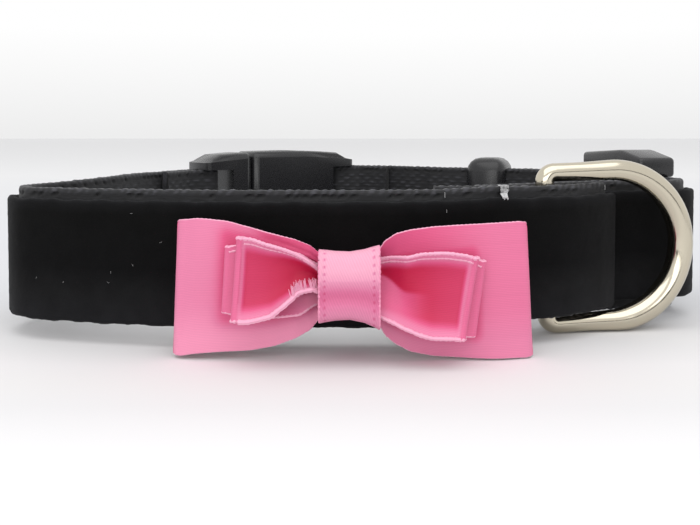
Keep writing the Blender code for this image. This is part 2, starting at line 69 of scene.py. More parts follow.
# The strap
WEBBING_WIDTH = 15.0
WEBBING_THICK = 1.3
VELVET_WIDTH = 13.6
VELVET_THICK = 1.0
VELVET_TOP_MARGIN = 1.1
STRAP_BOTTOM = 2.55
STRAP_TOP = STRAP_BOTTOM + WEBBING_WIDTH
GAP = 0.3
BAR_THICK = 1.8
STRAP_STEP = 1.5
TRIM_STEP = 0.2
CURVE_STEPS = 16
FOLD_STEPS = 8
FOLD_MEETS = 4.5
PLUG_BAR = (-24.25, 46.2)
SOCKET_BAR = (-2.25, 64.1)
SLIDER_CENTRE = (39.25, 28.4)
SLIDER_HEADING_DEG = 103.5
SLIDER_LENGTH = 14.4
SLIDER_THICK = 4.6
SLIDER_HEIGHT = 20.8
SLIDER_CREST = 5.0
SLIDER_CREST_RISE = 0.5
SLIDER_END_DROP = 0.6
SLIDER_ROUNDING = 0.55
RAIL_OUT = 0.9
RAIL_ON = 0.6
BAR_INSET = 1.0
WEAVE_CLEAR = 0.06
KEEPER_CENTRE = (24.09, 52.54)
KEEPER_HEADING_DEG = 156.0
KEEPER_LENGTH = 6.8
KEEPER_WALL = 1.9
KEEPER_DEPTH = 8.4
KEEPER_BOTTOM = 0.65
KEEPER_TOP = 19.45
KEEPER_ROUNDING = 2.3
KEEPER_HOLE_ROUNDING = 0.4
BUCKLE_HEIGHT = 20.6
BUCKLE_SLOT_HEIGHT = 16.0
# How far before its bar a buckle's slot and its end begin, how far beyond the slot the end's corners lie, and
# how far they fall
BUCKLE_SLOT_REACH = 6.0
BUCKLE_END_REACH = 0.3
BUCKLE_CORNER = 0.8
BUCKLE_END_DROP = 0.45
# The fittings' finer measures: points that lie together, points at a height, how far a cutter runs past its
# piece, and what counts as flat
MERGE = 0.02
NEAR = 0.1
CUT_PAST = 2.0
FLAT_DEG = 1.0
# What counts as a sharp edge on a moulding, on thick cloth, and on a ribbon's bare sheet or a thread
SHARP_EDGE_DEG = 35
SHARP_CLOTH_DEG = 50
SHARP_THIN_DEG = 60
FRONT_RUN = [
    (-31.3, 33.5), (-33.6, 25.5), (-36.4, 18.0), (-38.7, 13.2), (-39.0, 9.4), (-37.2, 6.9), (-34.2, 5.6),
    (-27.6, 3.9), (-19.5, 2.6), (-9.0, 1.95), (0.0, 1.95), (12.0, 2.2), (22.9, 4.75), (27.2, 7.4),
    (30.3, 10.3),
]
SIDE_RUN = [
    (9.5, 3.78), (14.0, 4.35), (17.6, 6.2), (21.3, 8.7), (25.0, 10.7), (28.3, 12.7), (32.6, 14.1),
    (37.2, 14.7), (40.8, 16.0), (43.1, 18.7),
]
BACK_RUN = [
    (35.25, 40.9), (33.5, 45.8), (30.4, 49.5), (26.2, 51.9), (20.2, 54.2), (12.8, 58.1), (6.8, 62.4),
]
PLUG_TAB = 11.0
SOCKET_TAB = 10.5
SLIDER_TAB = 5.0
TAIL = 40.0
VELVET_TUCK = 2.5
VELVET_SHORT_OF_BAR = 3.2
VELVET_SHORT_OF_SLIDER = 1.0

# The D-ring
RING_WIRE = 2.15
RING_CLEAR_HEIGHT = 15.7
RING_SPREAD = 0.05
RING_LEG = 8.3
RING_CORNER = 1.15
# How far the wire's skin swells at most, and the share of it at distances from the bar, along the upper leg
# and the lower one, which passes under the strap
RING_SWELL = 0.52
UPPER_SWELL = ((5.0, 8.5, 17.0), (0.0, 0.25, 0.7))
LOWER_SWELL = ((5.0, 7.8, 10.5, 14.0, 17.0), (0.0, 0.22, 0.7, 0.85, 0.7))
RING_BAR = (22.9, 7.0)
RING_SWING_DEG = 10.0
RING_TILT_DEG = -1.5

# The photograph's camera looks almost level, as the upright ends of the strap show, and its frame was cropped
# low: how far it stands before the velvet, its height, its focal length, how far it looks down, and how high
# the middle of its lens lies in the frame, in pixels
PHOTO_WIDTH = 700
PHOTO_HEIGHT = 525
SENSOR_WIDTH = 36.0
CAMERA_DISTANCE = 88.11
CAMERA_HEIGHT = 23.48
CAMERA_FOCAL_PIXELS = 815.7
CAMERA_PITCH_DEG = 2.24
LENS_MIDDLE_PIXELS = 165.9


def plan(place, height=0.0):
    """A plan place and a height in millimetres, as a point in metres from the origin."""
    return Vector(((place[0] - CENTRE_X) * MM, (place[1] - CENTRE_Y) * MM, height * MM))


def deselect_all():
    for item in bpy.context.scene.objects:
        item.select_set(False)


def only(target):
    """Makes one object the active and only selected one."""
    deselect_all()
    target.select_set(True)
    bpy.context.view_layer.objects.active = target
    return target


def apply_modifiers(target):
    only(target)
    for modifier in list(target.modifiers):
        bpy.ops.object.modifier_apply(modifier=modifier.name)


@contextmanager
def editing(target):
    """Opens a piece in edit mode, with all of its mesh selected."""
    only(target)
    bpy.ops.object.mode_set(mode="EDIT")
    bpy.ops.mesh.select_all(action="SELECT")
    yield
    bpy.ops.object.mode_set(mode="OBJECT")


def faced_outwards(target, sharp_deg):
    """Turns a piece's faces outwards, and shades it smooth but for edges sharper than an angle."""
    with editing(target):
        bpy.ops.mesh.normals_make_consistent(inside=False)
    bpy.ops.object.shade_smooth_by_angle(angle=math.radians(sharp_deg))
    return target


def joined(target, others):
    """Joins others into target."""
    only(target)
    for other in others:
        other.select_set(True)
    bpy.ops.object.join()
    return target


def walked_along(points):
    """How far along a row of points each of them lies."""
    return np.concatenate([[0.0], np.cumsum(np.linalg.norm(np.diff(points, axis=0), axis=1))])


def hermite(t, start, leave, end, arrive, span):
    """Where a smooth step from start to end is at the share t, with its slopes where it leaves and arrives."""
    return (
        (2 * t**3 - 3 * t**2 + 1) * start + (t**3 - 2 * t**2 + t) * leave * span
        + (3 * t**2 - 2 * t**3) * end + (t**3 - t**2) * arrive * span
    )


def linked(name, data):
    """A new object of the scene from its data."""
    made = bpy.data.objects.new(name, data)
    bpy.context.scene.collection.objects.link(made)
    return made


def added(operation, name="part", **settings):
    """What a primitive's operation adds."""
    deselect_all()
    operation(**settings)
    made = bpy.context.active_object
    made.name = name
    return made


def mesh_piece(name, places, faces, flat=None, **layers):
    """A piece through a grid of places in millimetres. flat is its faces' corners on the flat cloth in metres,
    and layers are named values for each of its points."""
    data = bpy.data.meshes.new(name)
    data.from_pydata((places * MM).reshape(-1, 3).tolist(), [], faces)
    uv = data.uv_layers.new(name="cloth")
    if flat is not None:
        uv.data.foreach_set("uv", flat.astype(np.float32).ravel())
    for layer, values in layers.items():
        marks = data.attributes.new(layer, "FLOAT", "POINT")
        marks.data.foreach_set("value", np.broadcast_to(values, places.shape[:2]).astype(np.float32).ravel())
    return linked(name, data)


def tube_faces(stations, around, closed=False):
    """The faces of a tube through closed sections, with its two ends unless it is closed along its length."""
    index = np.arange(stations * around).reshape(stations, around)
    here, nextward = (index, np.roll(index, -1, axis=0)) if closed else (index[:-1], index[1:])
    quads = np.stack([here, nextward, np.roll(nextward, -1, axis=1), np.roll(here, -1, axis=1)], axis=-1)
    faces = quads.reshape(-1, 4).tolist()
    return faces if closed else [*faces, index[0].tolist(), index[-1][::-1].tolist()]


def settle(target):
    """Brings a piece's place, turn and scale into its mesh."""
    only(target)
    bpy.ops.object.transform_apply(location=True, rotation=True, scale=True)


def dress(target, look, replaced=None, body="collar"):
    """Gives a finished piece its material and body, and hides the CAD node that it stands for."""
    target.data.materials.clear()
    target.data.materials.append(look)
    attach(target, body)
    if replaced:
        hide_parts(replaced)
    return target


# Materials


def linear(code):
    """An sRGB hex colour as a linear colour with alpha."""
    parts = [int(code[k:k + 2], 16) / 255 for k in (1, 3, 5)]
    return (*[p / 12.92 if p <= 0.04045 else ((p + 0.055) / 1.055) ** 2.4 for p in parts], 1.0)


def fill(node, **settings):
    """Sets a node's properties and, by a socket's name, its inputs: to a value, to an output, or to the first
    output of another node."""
    for key, value in settings.items():
        if isinstance(value, bpy.types.Node):
            value = value.outputs[0]
        if hasattr(node, key):
            setattr(node, key, value)
        elif isinstance(value, bpy.types.NodeSocket):
            node.id_data.links.new(value, node.inputs[key.replace("_", " ")])
        else:
            node.inputs[key.replace("_", " ")].default_value = value
    return node


def add_node(tree, kind, *sources, **settings):
    """Adds a node and fills it. sources are outputs that feed its inputs from the first one on."""
    node = tree.nodes.new("ShaderNode" + kind)
    for socket, source in zip(node.inputs, sources):
        tree.links.new(source, socket)
    return fill(node, **settings)


def set_stops(ramp, *stops):
    """Gives a colour ramp its stops, each a place and an sRGB hex colour."""
    elements = ramp.color_ramp.elements
    for element, (place, code) in zip(elements, (stops[0], stops[-1])):
        element.position, element.color = place, linear(code)
    for place, code in stops[1:-1]:
        elements.new(place).color = linear(code)


def new_material(name, **sockets):
    made = bpy.data.materials.new(name)
    made.use_nodes = True
    return made, made.node_tree, fill(made.node_tree.nodes["Principled BSDF"], **sockets)


def black_webbing():
    """Woven polypropylene: dull black multifilament yarns. Its colour is painted greyer where they crown, as a
    highlight, and dark between them, as shade.
    """
    made, tree, shader = new_material("woven_polypropylene_webbing", Roughness=0.66, IOR=1.49, Sheen_Weight=0.1,
                                      Sheen_Roughness=0.5, Specular_IOR_Level=0.35)
    uv = add_node(tree, "UVMap", uv_map="cloth")
    crown = add_node(tree, "Attribute", attribute_name="crown")
    place = add_node(tree, "Mapping", Vector=uv, Scale=(900.0, 6000.0, 1.0), Rotation=(0.0, 0.0, 0.5))
    fibres = add_node(tree, "TexNoise", Vector=place, Scale=1.0, Detail=3.0)
    shade = add_node(tree, "Math", crown.outputs["Fac"], fibres.outputs["Fac"], operation="MULTIPLY")
    # Painted highlight and shade: greyer on the crowns, darker between the yarns and in the notches
    ramp = add_node(tree, "ValToRGB", Fac=shade)
    set_stops(ramp, (0.0, "#0b0b0d"), (0.34, "#1c1c1f"), (0.7, "#3a3a3f"))
    fill(shader, Base_Color=ramp, Normal=add_node(tree, "Bump", Height=fibres, Strength=0.5, Distance=0.06 * MM))
    return made


def black_velvet():
    """Cut-pile velvet ribbon: the pile drinks light. Its colour is painted with sheen: lighter along both
    rounded edges, where it is seen on edge, and a little greyer over its lower third. Its second UV
    coordinate climbs the outer face from its bottom."""
    made, tree, shader = new_material("cut_pile_velvet", Roughness=0.95, IOR=1.5, Sheen_Weight=0.08,
                                      Sheen_Roughness=0.42, Sheen_Tint=linear("#c9c9cc"), Specular_IOR_Level=0.1)
    uv = add_node(tree, "UVMap", uv_map="cloth")
    rise = add_node(tree, "SeparateXYZ", Vector=uv).outputs["Y"]
    # Painted sheen by height up the face: lighter at both edges, greyer over the lower third, darkest above it
    sheen_by_height = add_node(tree, "ValToRGB", Fac=add_node(tree, "MapRange", Value=rise, From_Max=VELVET_WIDTH * MM))
    set_stops(sheen_by_height, (0.0, "#19191b"), (0.22, "#131314"), (0.42, "#080809"), (0.86, "#080808"),
              (0.93, "#101011"), (1.0, "#1a1a1c"))
    nap = add_node(tree, "TexNoise", Vector=uv, Scale=420.0, Detail=4.0)
    level = add_node(tree, "MapRange", Value=nap, To_Min=0.55, To_Max=1.45)
    shade = add_node(tree, "VectorMath", sheen_by_height.outputs["Color"], operation="SCALE", Scale=level)
    pile = add_node(tree, "TexNoise", Vector=uv, Scale=9000.0, Detail=2.0)
    fill(shader, Base_Color=shade, Normal=add_node(tree, "Bump", Height=pile, Strength=0.6, Distance=0.08 * MM))
    return made


def pink_satin(name, lit_colour, open_colour, fold_shade_colour, deep_shade_colour, selvage_sheen_colour, rib_pitch, grain,
               weave_turn=0.0, unevenness=0.6):
    """Woven polyester satin: long floats give fine ribs along the ribbon and a soft gloss across them. The
    colour is painted: deeper in folds, as shade where light comes only off the ribbon itself, lighter where
    that shade is least, as painted light, and paler on the selvage's beads, as a painted sheen."""
    made, tree, shader = new_material(name, Roughness=0.5, IOR=1.5, Sheen_Weight=0.05, Sheen_Roughness=0.4,
                                      Anisotropic=0.4, Specular_IOR_Level=0.3)
    uv = add_node(tree, "UVMap", uv_map="cloth")
    turned = add_node(tree, "Mapping", Vector=uv, Rotation=(0.0, 0.0, weave_turn))
    # A wave's bands repeat every 0.314 / scale
    ribs = add_node(tree, "TexWave", bands_direction="Y", Vector=turned, Scale=0.314 / (rib_pitch * MM),
                    Distortion=unevenness, Detail=1.0, Detail_Scale=0.4)
    fine = add_node(tree, "Mapping", Vector=turned, Scale=grain)
    threads = add_node(tree, "TexNoise", Vector=fine, Scale=1.0, Detail=2.0)
    both = add_node(tree, "Math", ribs.outputs["Fac"], threads.outputs["Fac"], operation="ADD")
    level = add_node(tree, "MapRange", Value=both, From_Min=0.3, From_Max=1.7, To_Min=0.87, To_Max=0.99)
    deep = add_node(tree, "Attribute", attribute_name="deep")
    # Painted light and shade: the lit colour where the shade is least, deepening through the fold colours where it
    # is most
    folds = add_node(tree, "ValToRGB", Fac=deep.outputs["Fac"])
    set_stops(folds, (0.0, lit_colour), (0.15, open_colour), (0.5, fold_shade_colour), (1.0, deep_shade_colour))
    selvage = add_node(tree, "Attribute", attribute_name="selvage")
    # Painted sheen: the beads of the selvage and the frayed threads are mixed towards a paler colour
    # A mix node's colours are its inputs 6 and 7, and its mixed colour is its output 2
    paled = add_node(tree, "Mix", data_type="RGBA", Factor=selvage.outputs["Fac"])
    tree.links.new(folds.outputs["Color"], paled.inputs[6])
    paled.inputs[7].default_value = linear(selvage_sheen_colour)
    shade = add_node(tree, "VectorMath", paled.outputs[2], operation="SCALE", Scale=level)
    fill(shader, Base_Color=shade, Normal=add_node(tree, "Bump", Height=both, Strength=0.2, Distance=0.02 * MM))
    return made


def white_thread():
    """Spun polyester sewing thread and lint: off-white, twisted, dull."""
    made, tree, shader = new_material("spun_polyester_thread", Roughness=0.7, Sheen_Weight=0.3)
    where = add_node(tree, "TexCoord").outputs["Object"]
    ramp = add_node(tree, "ValToRGB", Fac=add_node(tree, "TexNoise", Vector=where, Scale=6000.0))
    set_stops(ramp, (0.0, "#77777a"), (1.0, "#dedede"))
    fill(shader, Base_Color=ramp)
    return made


def nickel():
    """Bright nickel plate on bent steel wire: warm white metal, with faint rubbing marks."""
    made, tree, shader = new_material("bright_nickel_plate", Base_Color=linear("#c8c0ae"), Metallic=1.0)
    where = add_node(tree, "TexCoord").outputs["Object"]
    marks = add_node(tree, "TexNoise", Vector=where, Scale=700.0, Detail=4.0)
    fill(shader, Roughness=add_node(tree, "MapRange", Value=marks, To_Min=0.1, To_Max=0.2))
    return made


def acetal():
    """Injection-moulded acetal: black, with the mould's fine spark texture and a waxy gloss."""
    made, tree, shader = new_material("moulded_acetal", Base_Color=linear("#1c1c1e"), IOR=1.48)
    where = add_node(tree, "TexCoord").outputs["Object"]
    grain = add_node(tree, "TexNoise", Vector=where, Scale=5200.0, Detail=2.0)
    fill(shader, Roughness=add_node(tree, "MapRange", Value=grain, To_Min=0.2, To_Max=0.34),
         Normal=add_node(tree, "Bump", Height=grain, Strength=0.25, Distance=0.02 * MM))
    return made


WEBBING = black_webbing()
VELVET = black_velvet()
SATIN = pink_satin("woven_satin_ribbon", "#e890b0", "#da7a9e", "#d4517f", "#b90a3c", "#e9a5bf", 0.18,
                   (45.0, 6500.0, 1.0))
KNOT_SATIN = pink_satin("woven_satin_knot_ribbon", "#e6a3b9", "#db8dab", "#cb6a90", "#b83f6b", "#e693b2", 0.26,
                        (1500.0, 6000.0, 1.0), 0.42, 2.5)
THREAD = white_thread()
NICKEL = nickel()
ACETAL = acetal()

# Lines in plan


def smooth_line(places, step):
    """Points about a step apart on a smooth curve through the places."""
    knots = [Vector(p) for p in places]
    knots = [2 * knots[0] - knots[1], *knots, 2 * knots[-1] - knots[-2]]
    fine = []
    for before, start, end, after in zip(knots, knots[1:], knots[2:], knots[3:]):
        gaps = [math.sqrt((b - a).length) for a, b in ((before, start), (start, end), (end, after))]
        leave = (start - before) / gaps[0] - (end - before) / (gaps[0] + gaps[1]) + (end - start) / gaps[1]
        arrive = (end - start) / gaps[1] - (after - start) / (gaps[1] + gaps[2]) + (after - end) / gaps[2]
        for k in range(CURVE_STEPS):
            fine.append(hermite(k / CURVE_STEPS, start, leave, end, arrive, gaps[1]))
    fine.append(knots[-2])
    return spaced(fine, step)


def length_of(line):
    return sum((b - a).length for a, b in zip(line, line[1:]))


def spaced(line, step):
    """The line again, with its points evenly apart."""
    lengths = [(b - a).length for a, b in zip(line, line[1:])]
    count = max(2, round(sum(lengths) / step))
    pitch = sum(lengths) / count
    found, walked, k = [line[0]], 0.0, 0
    for n in range(1, count):
        while walked + lengths[k] < n * pitch:
            walked += lengths[k]
            k += 1
        found.append(line[k].lerp(line[k + 1], (n * pitch - walked) / lengths[k]))
    return [*found, line[-1]]


def outward_at(line, k):
    """The way out of the loop at a point of a line, square to the line."""
    along = (line[min(k + 1, len(line) - 1)] - line[max(k - 1, 0)]).normalized()
    return Vector((along.y, -along.x))


def beside(line, distance):
    """A line a distance out of the loop from a line."""
    return [point + outward_at(line, k) * distance for k, point in enumerate(line)]


def trimmed(line, start, end):
    """The stretch of a line between a distance from its start and a distance from its end."""
    fine = spaced(line, TRIM_STEP)
    pitch = length_of(line) / (len(fine) - 1)
    return fine[round(start / pitch): len(fine) - round(end / pitch)]


def beside_bar(bar, place, way):
    """Where a strap from a place passes its bar, on the side that way gives."""
    heading = (Vector(bar) - Vector(place)).normalized() * way
    reach = BAR_THICK / 2 + GAP + WEBBING_THICK / 2
    return Vector(bar) + Vector((heading.y, -heading.x)) * reach


def fold_and_tab(run, bar, tab_length):
    """What follows the end of a run: round its bar, and back along the run's inner side."""
    centre = Vector(bar)
    out = run[-1] - centre
    ahead = Vector((-out.y, out.x))
    if ahead.dot(run[-1] - run[-2]) < 0:
        ahead = -ahead
    angles = [math.pi * k / FOLD_STEPS for k in range(1, FOLD_STEPS)]
    arc = [centre + out * math.cos(angle) + ahead * math.sin(angle) for angle in angles]
    back = spaced(run[::-1], STRAP_STEP)
    inner = [centre - out]
    for k in range(round(FOLD_MEETS / STRAP_STEP), round(tab_length / STRAP_STEP) + 1):
        along = (back[k + 1] - back[k - 1]).normalized()
        across = Vector((along.y, -along.x))
        if across.dot(out) > 0:
            across = -across
        inner.append(back[k] + across * (WEBBING_THICK + GAP))
    return arc, smooth_line(inner, STRAP_STEP)


def strap_lines():
    """Each strap's whole line in plan, and the lines of the velvet ribbons on them."""
    lines = {}
    pile = (WEBBING_THICK + VELVET_THICK) / 2 + GAP
    front = smooth_line([beside_bar(PLUG_BAR, FRONT_RUN[0], -1), *FRONT_RUN], STRAP_STEP)
    arc, tab = fold_and_tab(front[::-1], PLUG_BAR, PLUG_TAB)
    lines["front_webbing"] = [*tab[::-1], *arc[::-1], *front]
    lines["front_velvet"] = trimmed(beside(front, pile), VELVET_SHORT_OF_BAR, 0.0)

    turn = math.radians(SLIDER_HEADING_DEG)
    heading = Vector((math.cos(turn), math.sin(turn)))
    outward = Vector((heading.y, -heading.x))
    centre = Vector(SLIDER_CENTRE)
    end_bar = (SLIDER_LENGTH - BAR_THICK) / 2
    clear_of_bar = BAR_THICK / 2 + GAP + WEBBING_THICK / 2
    near_bar = centre - heading * end_bar
    side = smooth_line([*SIDE_RUN, near_bar + outward * clear_of_bar], STRAP_STEP)
    arc, tab = fold_and_tab(side, near_bar, SLIDER_TAB)
    lines["side_webbing"] = [*side, *arc, *tab]
    lap_end = Vector(FRONT_RUN[-1])
    nearest = min(range(len(side)), key=lambda k: (side[k] - lap_end).length)
    before_lap = length_of(side[:nearest + 1])
    lines["side_velvet"] = trimmed(beside(side, pile), before_lap - VELVET_TUCK, VELVET_SHORT_OF_BAR)

    slant = math.asin(2 * clear_of_bar / end_bar)
    across = outward * math.cos(slant) + heading * math.sin(slant)
    over_bar = centre + across * clear_of_bar
    under_bar = centre + heading * end_bar - across * clear_of_bar
    back = smooth_line([over_bar, under_bar, *BACK_RUN, beside_bar(SOCKET_BAR, BACK_RUN[-1], 1)], STRAP_STEP)
    arc, tab = fold_and_tab(back, SOCKET_BAR, SOCKET_TAB)
    tail_arc, tail = fold_and_tab(back[::-1], SLIDER_CENTRE, TAIL)
    lines["back_webbing"] = [*tail[::-1], *tail_arc[::-1], *back, *arc, *tab]
    past_slider = end_bar + BAR_THICK + VELVET_SHORT_OF_SLIDER
    lines["back_velvet"] = trimmed(beside(back, pile), past_slider, VELVET_SHORT_OF_BAR)
    return lines


# Straps


def swept(name, line, sections, walked_round, **layers):
    """A tube through a closed section at each point of a line in plan. sections is an array of stations by
    points by (outward, height); its cloth UVs are metres along the line and round the section."""
    stations, around = sections.shape[:2]
    points = np.array([tuple(p) for p in line])
    ahead = np.gradient(points, axis=0)
    ahead /= np.linalg.norm(ahead, axis=1)[:, None]
    outward = np.stack([ahead[:, 1], -ahead[:, 0]], axis=1)
    places = np.empty((stations, around, 3))
    places[..., :2] = points[:, None, :] + outward[:, None, :] * sections[..., :1] - (CENTRE_X, CENTRE_Y)
    places[..., 2] = sections[..., 1]
    faces = tube_faces(stations, around)
    corners = np.array([corner for face in faces for corner in face])
    flat = np.stack([walked_along(points)[corners // around], walked_round[corners % around]], axis=1) * MM
    return faced_outwards(mesh_piece(name, places, faces, flat, **layers), SHARP_CLOTH_DEG)


def rounded_section(width, thick, rounding, step, corner_steps=3):
    """Points round an upright rectangle with rounded corners, as (outward, height) from its bottom, and
    which face each is on: 1 outer, -1 inner, 0 an edge."""
    rises = np.linspace(rounding, width - rounding, max(2, round((width - 2 * rounding) / step)))
    inset = thick / 2 - rounding
    points, sides = [], []
    for quarter, (out, height) in enumerate(((inset, width - rounding), (-inset, width - rounding),
                                             (-inset, rounding), (inset, rounding))):
        if quarter % 2 == 0:
            side = 1 - quarter
            points.extend((side * thick / 2, z) for z in rises[::side])
            sides.extend([side] * len(rises))
        for k in range(1, corner_steps + 1):
            angle = math.radians(90 * quarter + 90 * k / (corner_steps + quarter % 2))
            points.append((out + rounding * math.cos(angle), height + rounding * math.sin(angle)))
            sides.append(0)
    return np.array(points), np.array(sides)


# The webbing's weave: its stations along the strap, the steps up its faces, its edges' rounding, and how many
# stations share one random draw
WEAVE_STEP = 0.25
WEAVE_RISE_STEP = 0.2
WEAVE_ROUNDING = 0.3
WEAVE_UNEVEN_EVERY = 4
YARN_WIDTH = 0.625
YARN_FLOAT = 1.05
YARN_RISE = 0.2
# The lobes along its edges, and the notches beside a share of them, dented and painted dark as shade
MARGIN_WIDTH = 1.1
MARGIN_CROWN = 0.22
LOBE_PITCH = 1.03
LOBE_SLANT = 0.9
LOBE_LENGTH = 0.7
LOBE_RISE = 0.2
NOTCH = -1.2
NOTCHED_SHARE = 0.45
NOTCH_FROM_EDGE = 0.65
NOTCH_HALF_WIDTH = 0.25
NOTCH_HALF_TURN = 0.3
VELVET_STEP = 0.4
VELVET_ROUNDING = 0.42
# Where the straps sag: the places along X, and how far. The front one rises again round the left side. Only
# the lower edge of the side one sags, behind the ring.
SIDE_SAG = ((24.0, 26.0, 34.0, 40.0), (0.0, 1.0, 1.0, 0.0))
FRONT_SAG = ((-45.0, 0.0, 10.0, 13.0, 15.5), (0.3, 0.36, 0.27, 0.13, 0.0))
FRONT_SAG_ENDS = (15.0, 30.0)
VELVET_SAG = 0.2


def sag(name, line):
    """How far a strap sags at each point of its line."""
    if name == "side_webbing":
        return np.interp([place.x for place in line], *SIDE_SAG)
    if name not in ("front_webbing", "front_velvet"):
        return np.zeros(len(line))
    kept = np.interp([place.y for place in line], FRONT_SAG_ENDS, (1.0, 0.0))
    return np.interp([place.x for place in line], *FRONT_SAG) * kept


def make_webbing(name, line):
    """A woven strap. Its lengthwise yarns lie side by side and crown in turn where they pass over the
    crosswise ones. Along both edges the weft turns back in slanting lobes, with notches beside them,
    dented and painted dark as shade."""
    fine = smooth_line(line, WEAVE_STEP)
    section, side = rounded_section(WEBBING_WIDTH, WEBBING_THICK - YARN_RISE, WEAVE_ROUNDING, WEAVE_RISE_STEP)
    along = np.arange(len(fine)) * length_of(fine) / (len(fine) - 1)
    draw = np.arange(len(fine)) // WEAVE_UNEVEN_EVERY
    across = section[:, 1]
    yarn = np.floor(across / YARN_WIDTH)
    body = np.sin(math.pi * (across / YARN_WIDTH - yarn)) ** 0.6
    phase = along[:, None] / (2 * YARN_FLOAT) + (yarn[None, :] % 2) / 2 + (side[None, :] < 0) / 2
    floats = (0.5 + 0.5 * np.cos(2 * math.pi * phase)) ** 0.7
    lump = 1 + 0.25 * RANDOM.standard_normal((len(fine) // WEAVE_UNEVEN_EVERY + 2, len(section)))[draw]
    crown = np.clip(body[None, :] * (0.3 + 0.7 * floats) * np.clip(lump, 0.6, 1.3), 0, 1.2)

    from_edge = np.minimum(across, WEBBING_WIDTH - across)
    margin = from_edge < MARGIN_WIDTH
    uneven = 0.12 * np.sin(along * 0.61) + 0.09 * np.sin(along * 1.9 + 1.3)
    turns = along[:, None] / LOBE_PITCH + uneven[:, None] + LOBE_SLANT * from_edge
    lobes = np.abs(np.cos(math.pi * turns))
    strength = 1 + 0.3 * RANDOM.standard_normal(len(fine) // WEAVE_UNEVEN_EVERY + 1)[draw]
    fade = np.clip(1.0 - from_edge / LOBE_LENGTH, 0.0, 1.0)
    lobed = (0.2 + 1.0 * lobes**1.2 * np.clip(strength, 0.5, 1.4)[:, None]) * fade + MARGIN_CROWN * (1 - fade)
    open_notch = RANDOM.random(int(turns.max()) + 3)[np.floor(turns).astype(int)] < NOTCHED_SHARE
    notched = (open_notch & (np.abs(turns % 1 - 0.5) < NOTCH_HALF_TURN)
               & (np.abs(from_edge - NOTCH_FROM_EDGE) < NOTCH_HALF_WIDTH))
    crown[:, margin] = np.where(notched, NOTCH, 1.1 * lobed)[:, margin]

    middle = np.array([0.0, WEBBING_WIDTH / 2])
    edge_way = np.sign(section - middle) * np.array([0.3, 1.0])
    outward = np.where((side == 0)[:, None], edge_way, np.stack([side, side * 0], axis=1))
    rise = np.where(margin, LOBE_RISE, YARN_RISE) / 2
    sections = section[None] + (crown * rise)[..., None] * outward[None]
    sections[..., 1] += STRAP_BOTTOM
    low_share = 1 - across / WEBBING_WIDTH if name == "side_webbing" else 1
    sections[..., 1] -= sag(name, fine)[:, None] * low_share
    # The crown goes to the material, which paints highlight on the crowns and shade between the yarns and in the
    # notches
    made = swept(name + "_weave", fine, sections, walked_along(section), crown=crown)
    return dress(made, WEBBING, name)


def make_velvet(name, line):
    """A velvet ribbon: a pile that rounds over at the ribbon's woven edges, a little uneven along them."""
    fine = smooth_line(spaced(line, STRAP_STEP), VELVET_STEP)
    section, side = rounded_section(VELVET_WIDTH, VELVET_THICK, VELVET_ROUNDING, VELVET_STEP, corner_steps=5)
    sections = np.repeat(section[None], len(fine), axis=0)
    along = np.arange(len(fine)) * VELVET_STEP
    wave = 0.05 * np.sin(along * 2 * math.pi / 7.3) + 0.04 * np.sin(along * 2 * math.pi / 3.1 + 1.0)
    grit = RANDOM.normal(0.0, 0.02, len(fine))
    share = section[:, 1] / VELVET_WIDTH
    sections[..., 1] += (wave + grit)[:, None] * (2 * share - 1)[None]
    sections[..., 0] += (side > 0)[None] * RANDOM.normal(0.0, 0.012, sections.shape[:2])
    lower = sag(name, fine)[:, None]
    sections[..., 1] += STRAP_TOP - VELVET_TOP_MARGIN - VELVET_WIDTH
    sections[..., 1] -= lower + VELVET_SAG * (lower > 0) * (1 - share)[None]
    made = swept(name + "_pile", fine, sections, walked_along(section))
    return dress(made, VELVET, name)


LINES = strap_lines()
for part in ("front", "side", "back"):
    make_webbing(part + "_webbing", LINES[part + "_webbing"])
    make_velvet(part + "_velvet", LINES[part + "_velvet"])

# The bow

# A crossing of a ribbon: how far across, its two edges' heights, how far forward of the velvet its middle
# lies, how much further forward its edges curl, and how much further right its top edge lies than its middle
Crossing = namedtuple("Crossing", "across bottom top forward curl lean", defaults=(0.0, 0.0))


def table_of(*rows):
    """A layer's crossings, from left to right."""
    return [Crossing(*row) for row in rows]


BIG_FRONT = table_of(
    (-17.3, 0.45, 14.55, 4.0, 0.0, 0.28), (-15.9, 0.72, 14.7, 4.35, 0.0, 0.26), (-13.4, 0.95, 14.5, 4.55, 0.0, 0.2),
    (-10.9, 1.1, 13.9, 4.55, 0.0, 0.1), (-8.4, 1.5, 13.2, 4.45), (-6.1, 2.2, 12.6, 4.2), (-4.4, 3.0, 11.9, 3.7),
    (-3.2, 4.2, 11.0, 3.2), (0.0, 6.1, 10.2, 2.9), (2.8, 4.0, 11.2, 3.2), (3.9, 2.4, 12.5, 3.7),
    (5.0, 1.65, 13.2, 4.1), (6.6, 0.95, 13.6, 4.4), (9.2, 0.5, 13.9, 4.55, 0.0, -0.1),
    (14.0, 0.3, 14.15, 4.55, 0.0, -0.3), (17.85, 0.25, 14.35, 4.0, 0.0, -0.4),
)
BIG_BEHIND = table_of(
    (-17.3, 0.55, 14.15, 2.2, 0.0, 0.28), (-13.4, 1.0, 13.9, 1.55, 0.0, 0.2), (-8.4, 1.6, 12.5, 1.45),
    (-4.4, 3.2, 11.2, 1.6), (-3.2, 4.6, 10.6, 1.65), (0.0, 6.1, 10.2, 1.7), (2.8, 4.6, 10.8, 1.65),
    (3.9, 2.8, 11.7, 1.6), (9.2, 0.8, 13.2, 1.45, 0.0, -0.1), (14.0, 0.45, 13.55, 1.55, 0.0, -0.3),
    (17.85, 0.35, 13.95, 2.2, 0.0, -0.4),
)
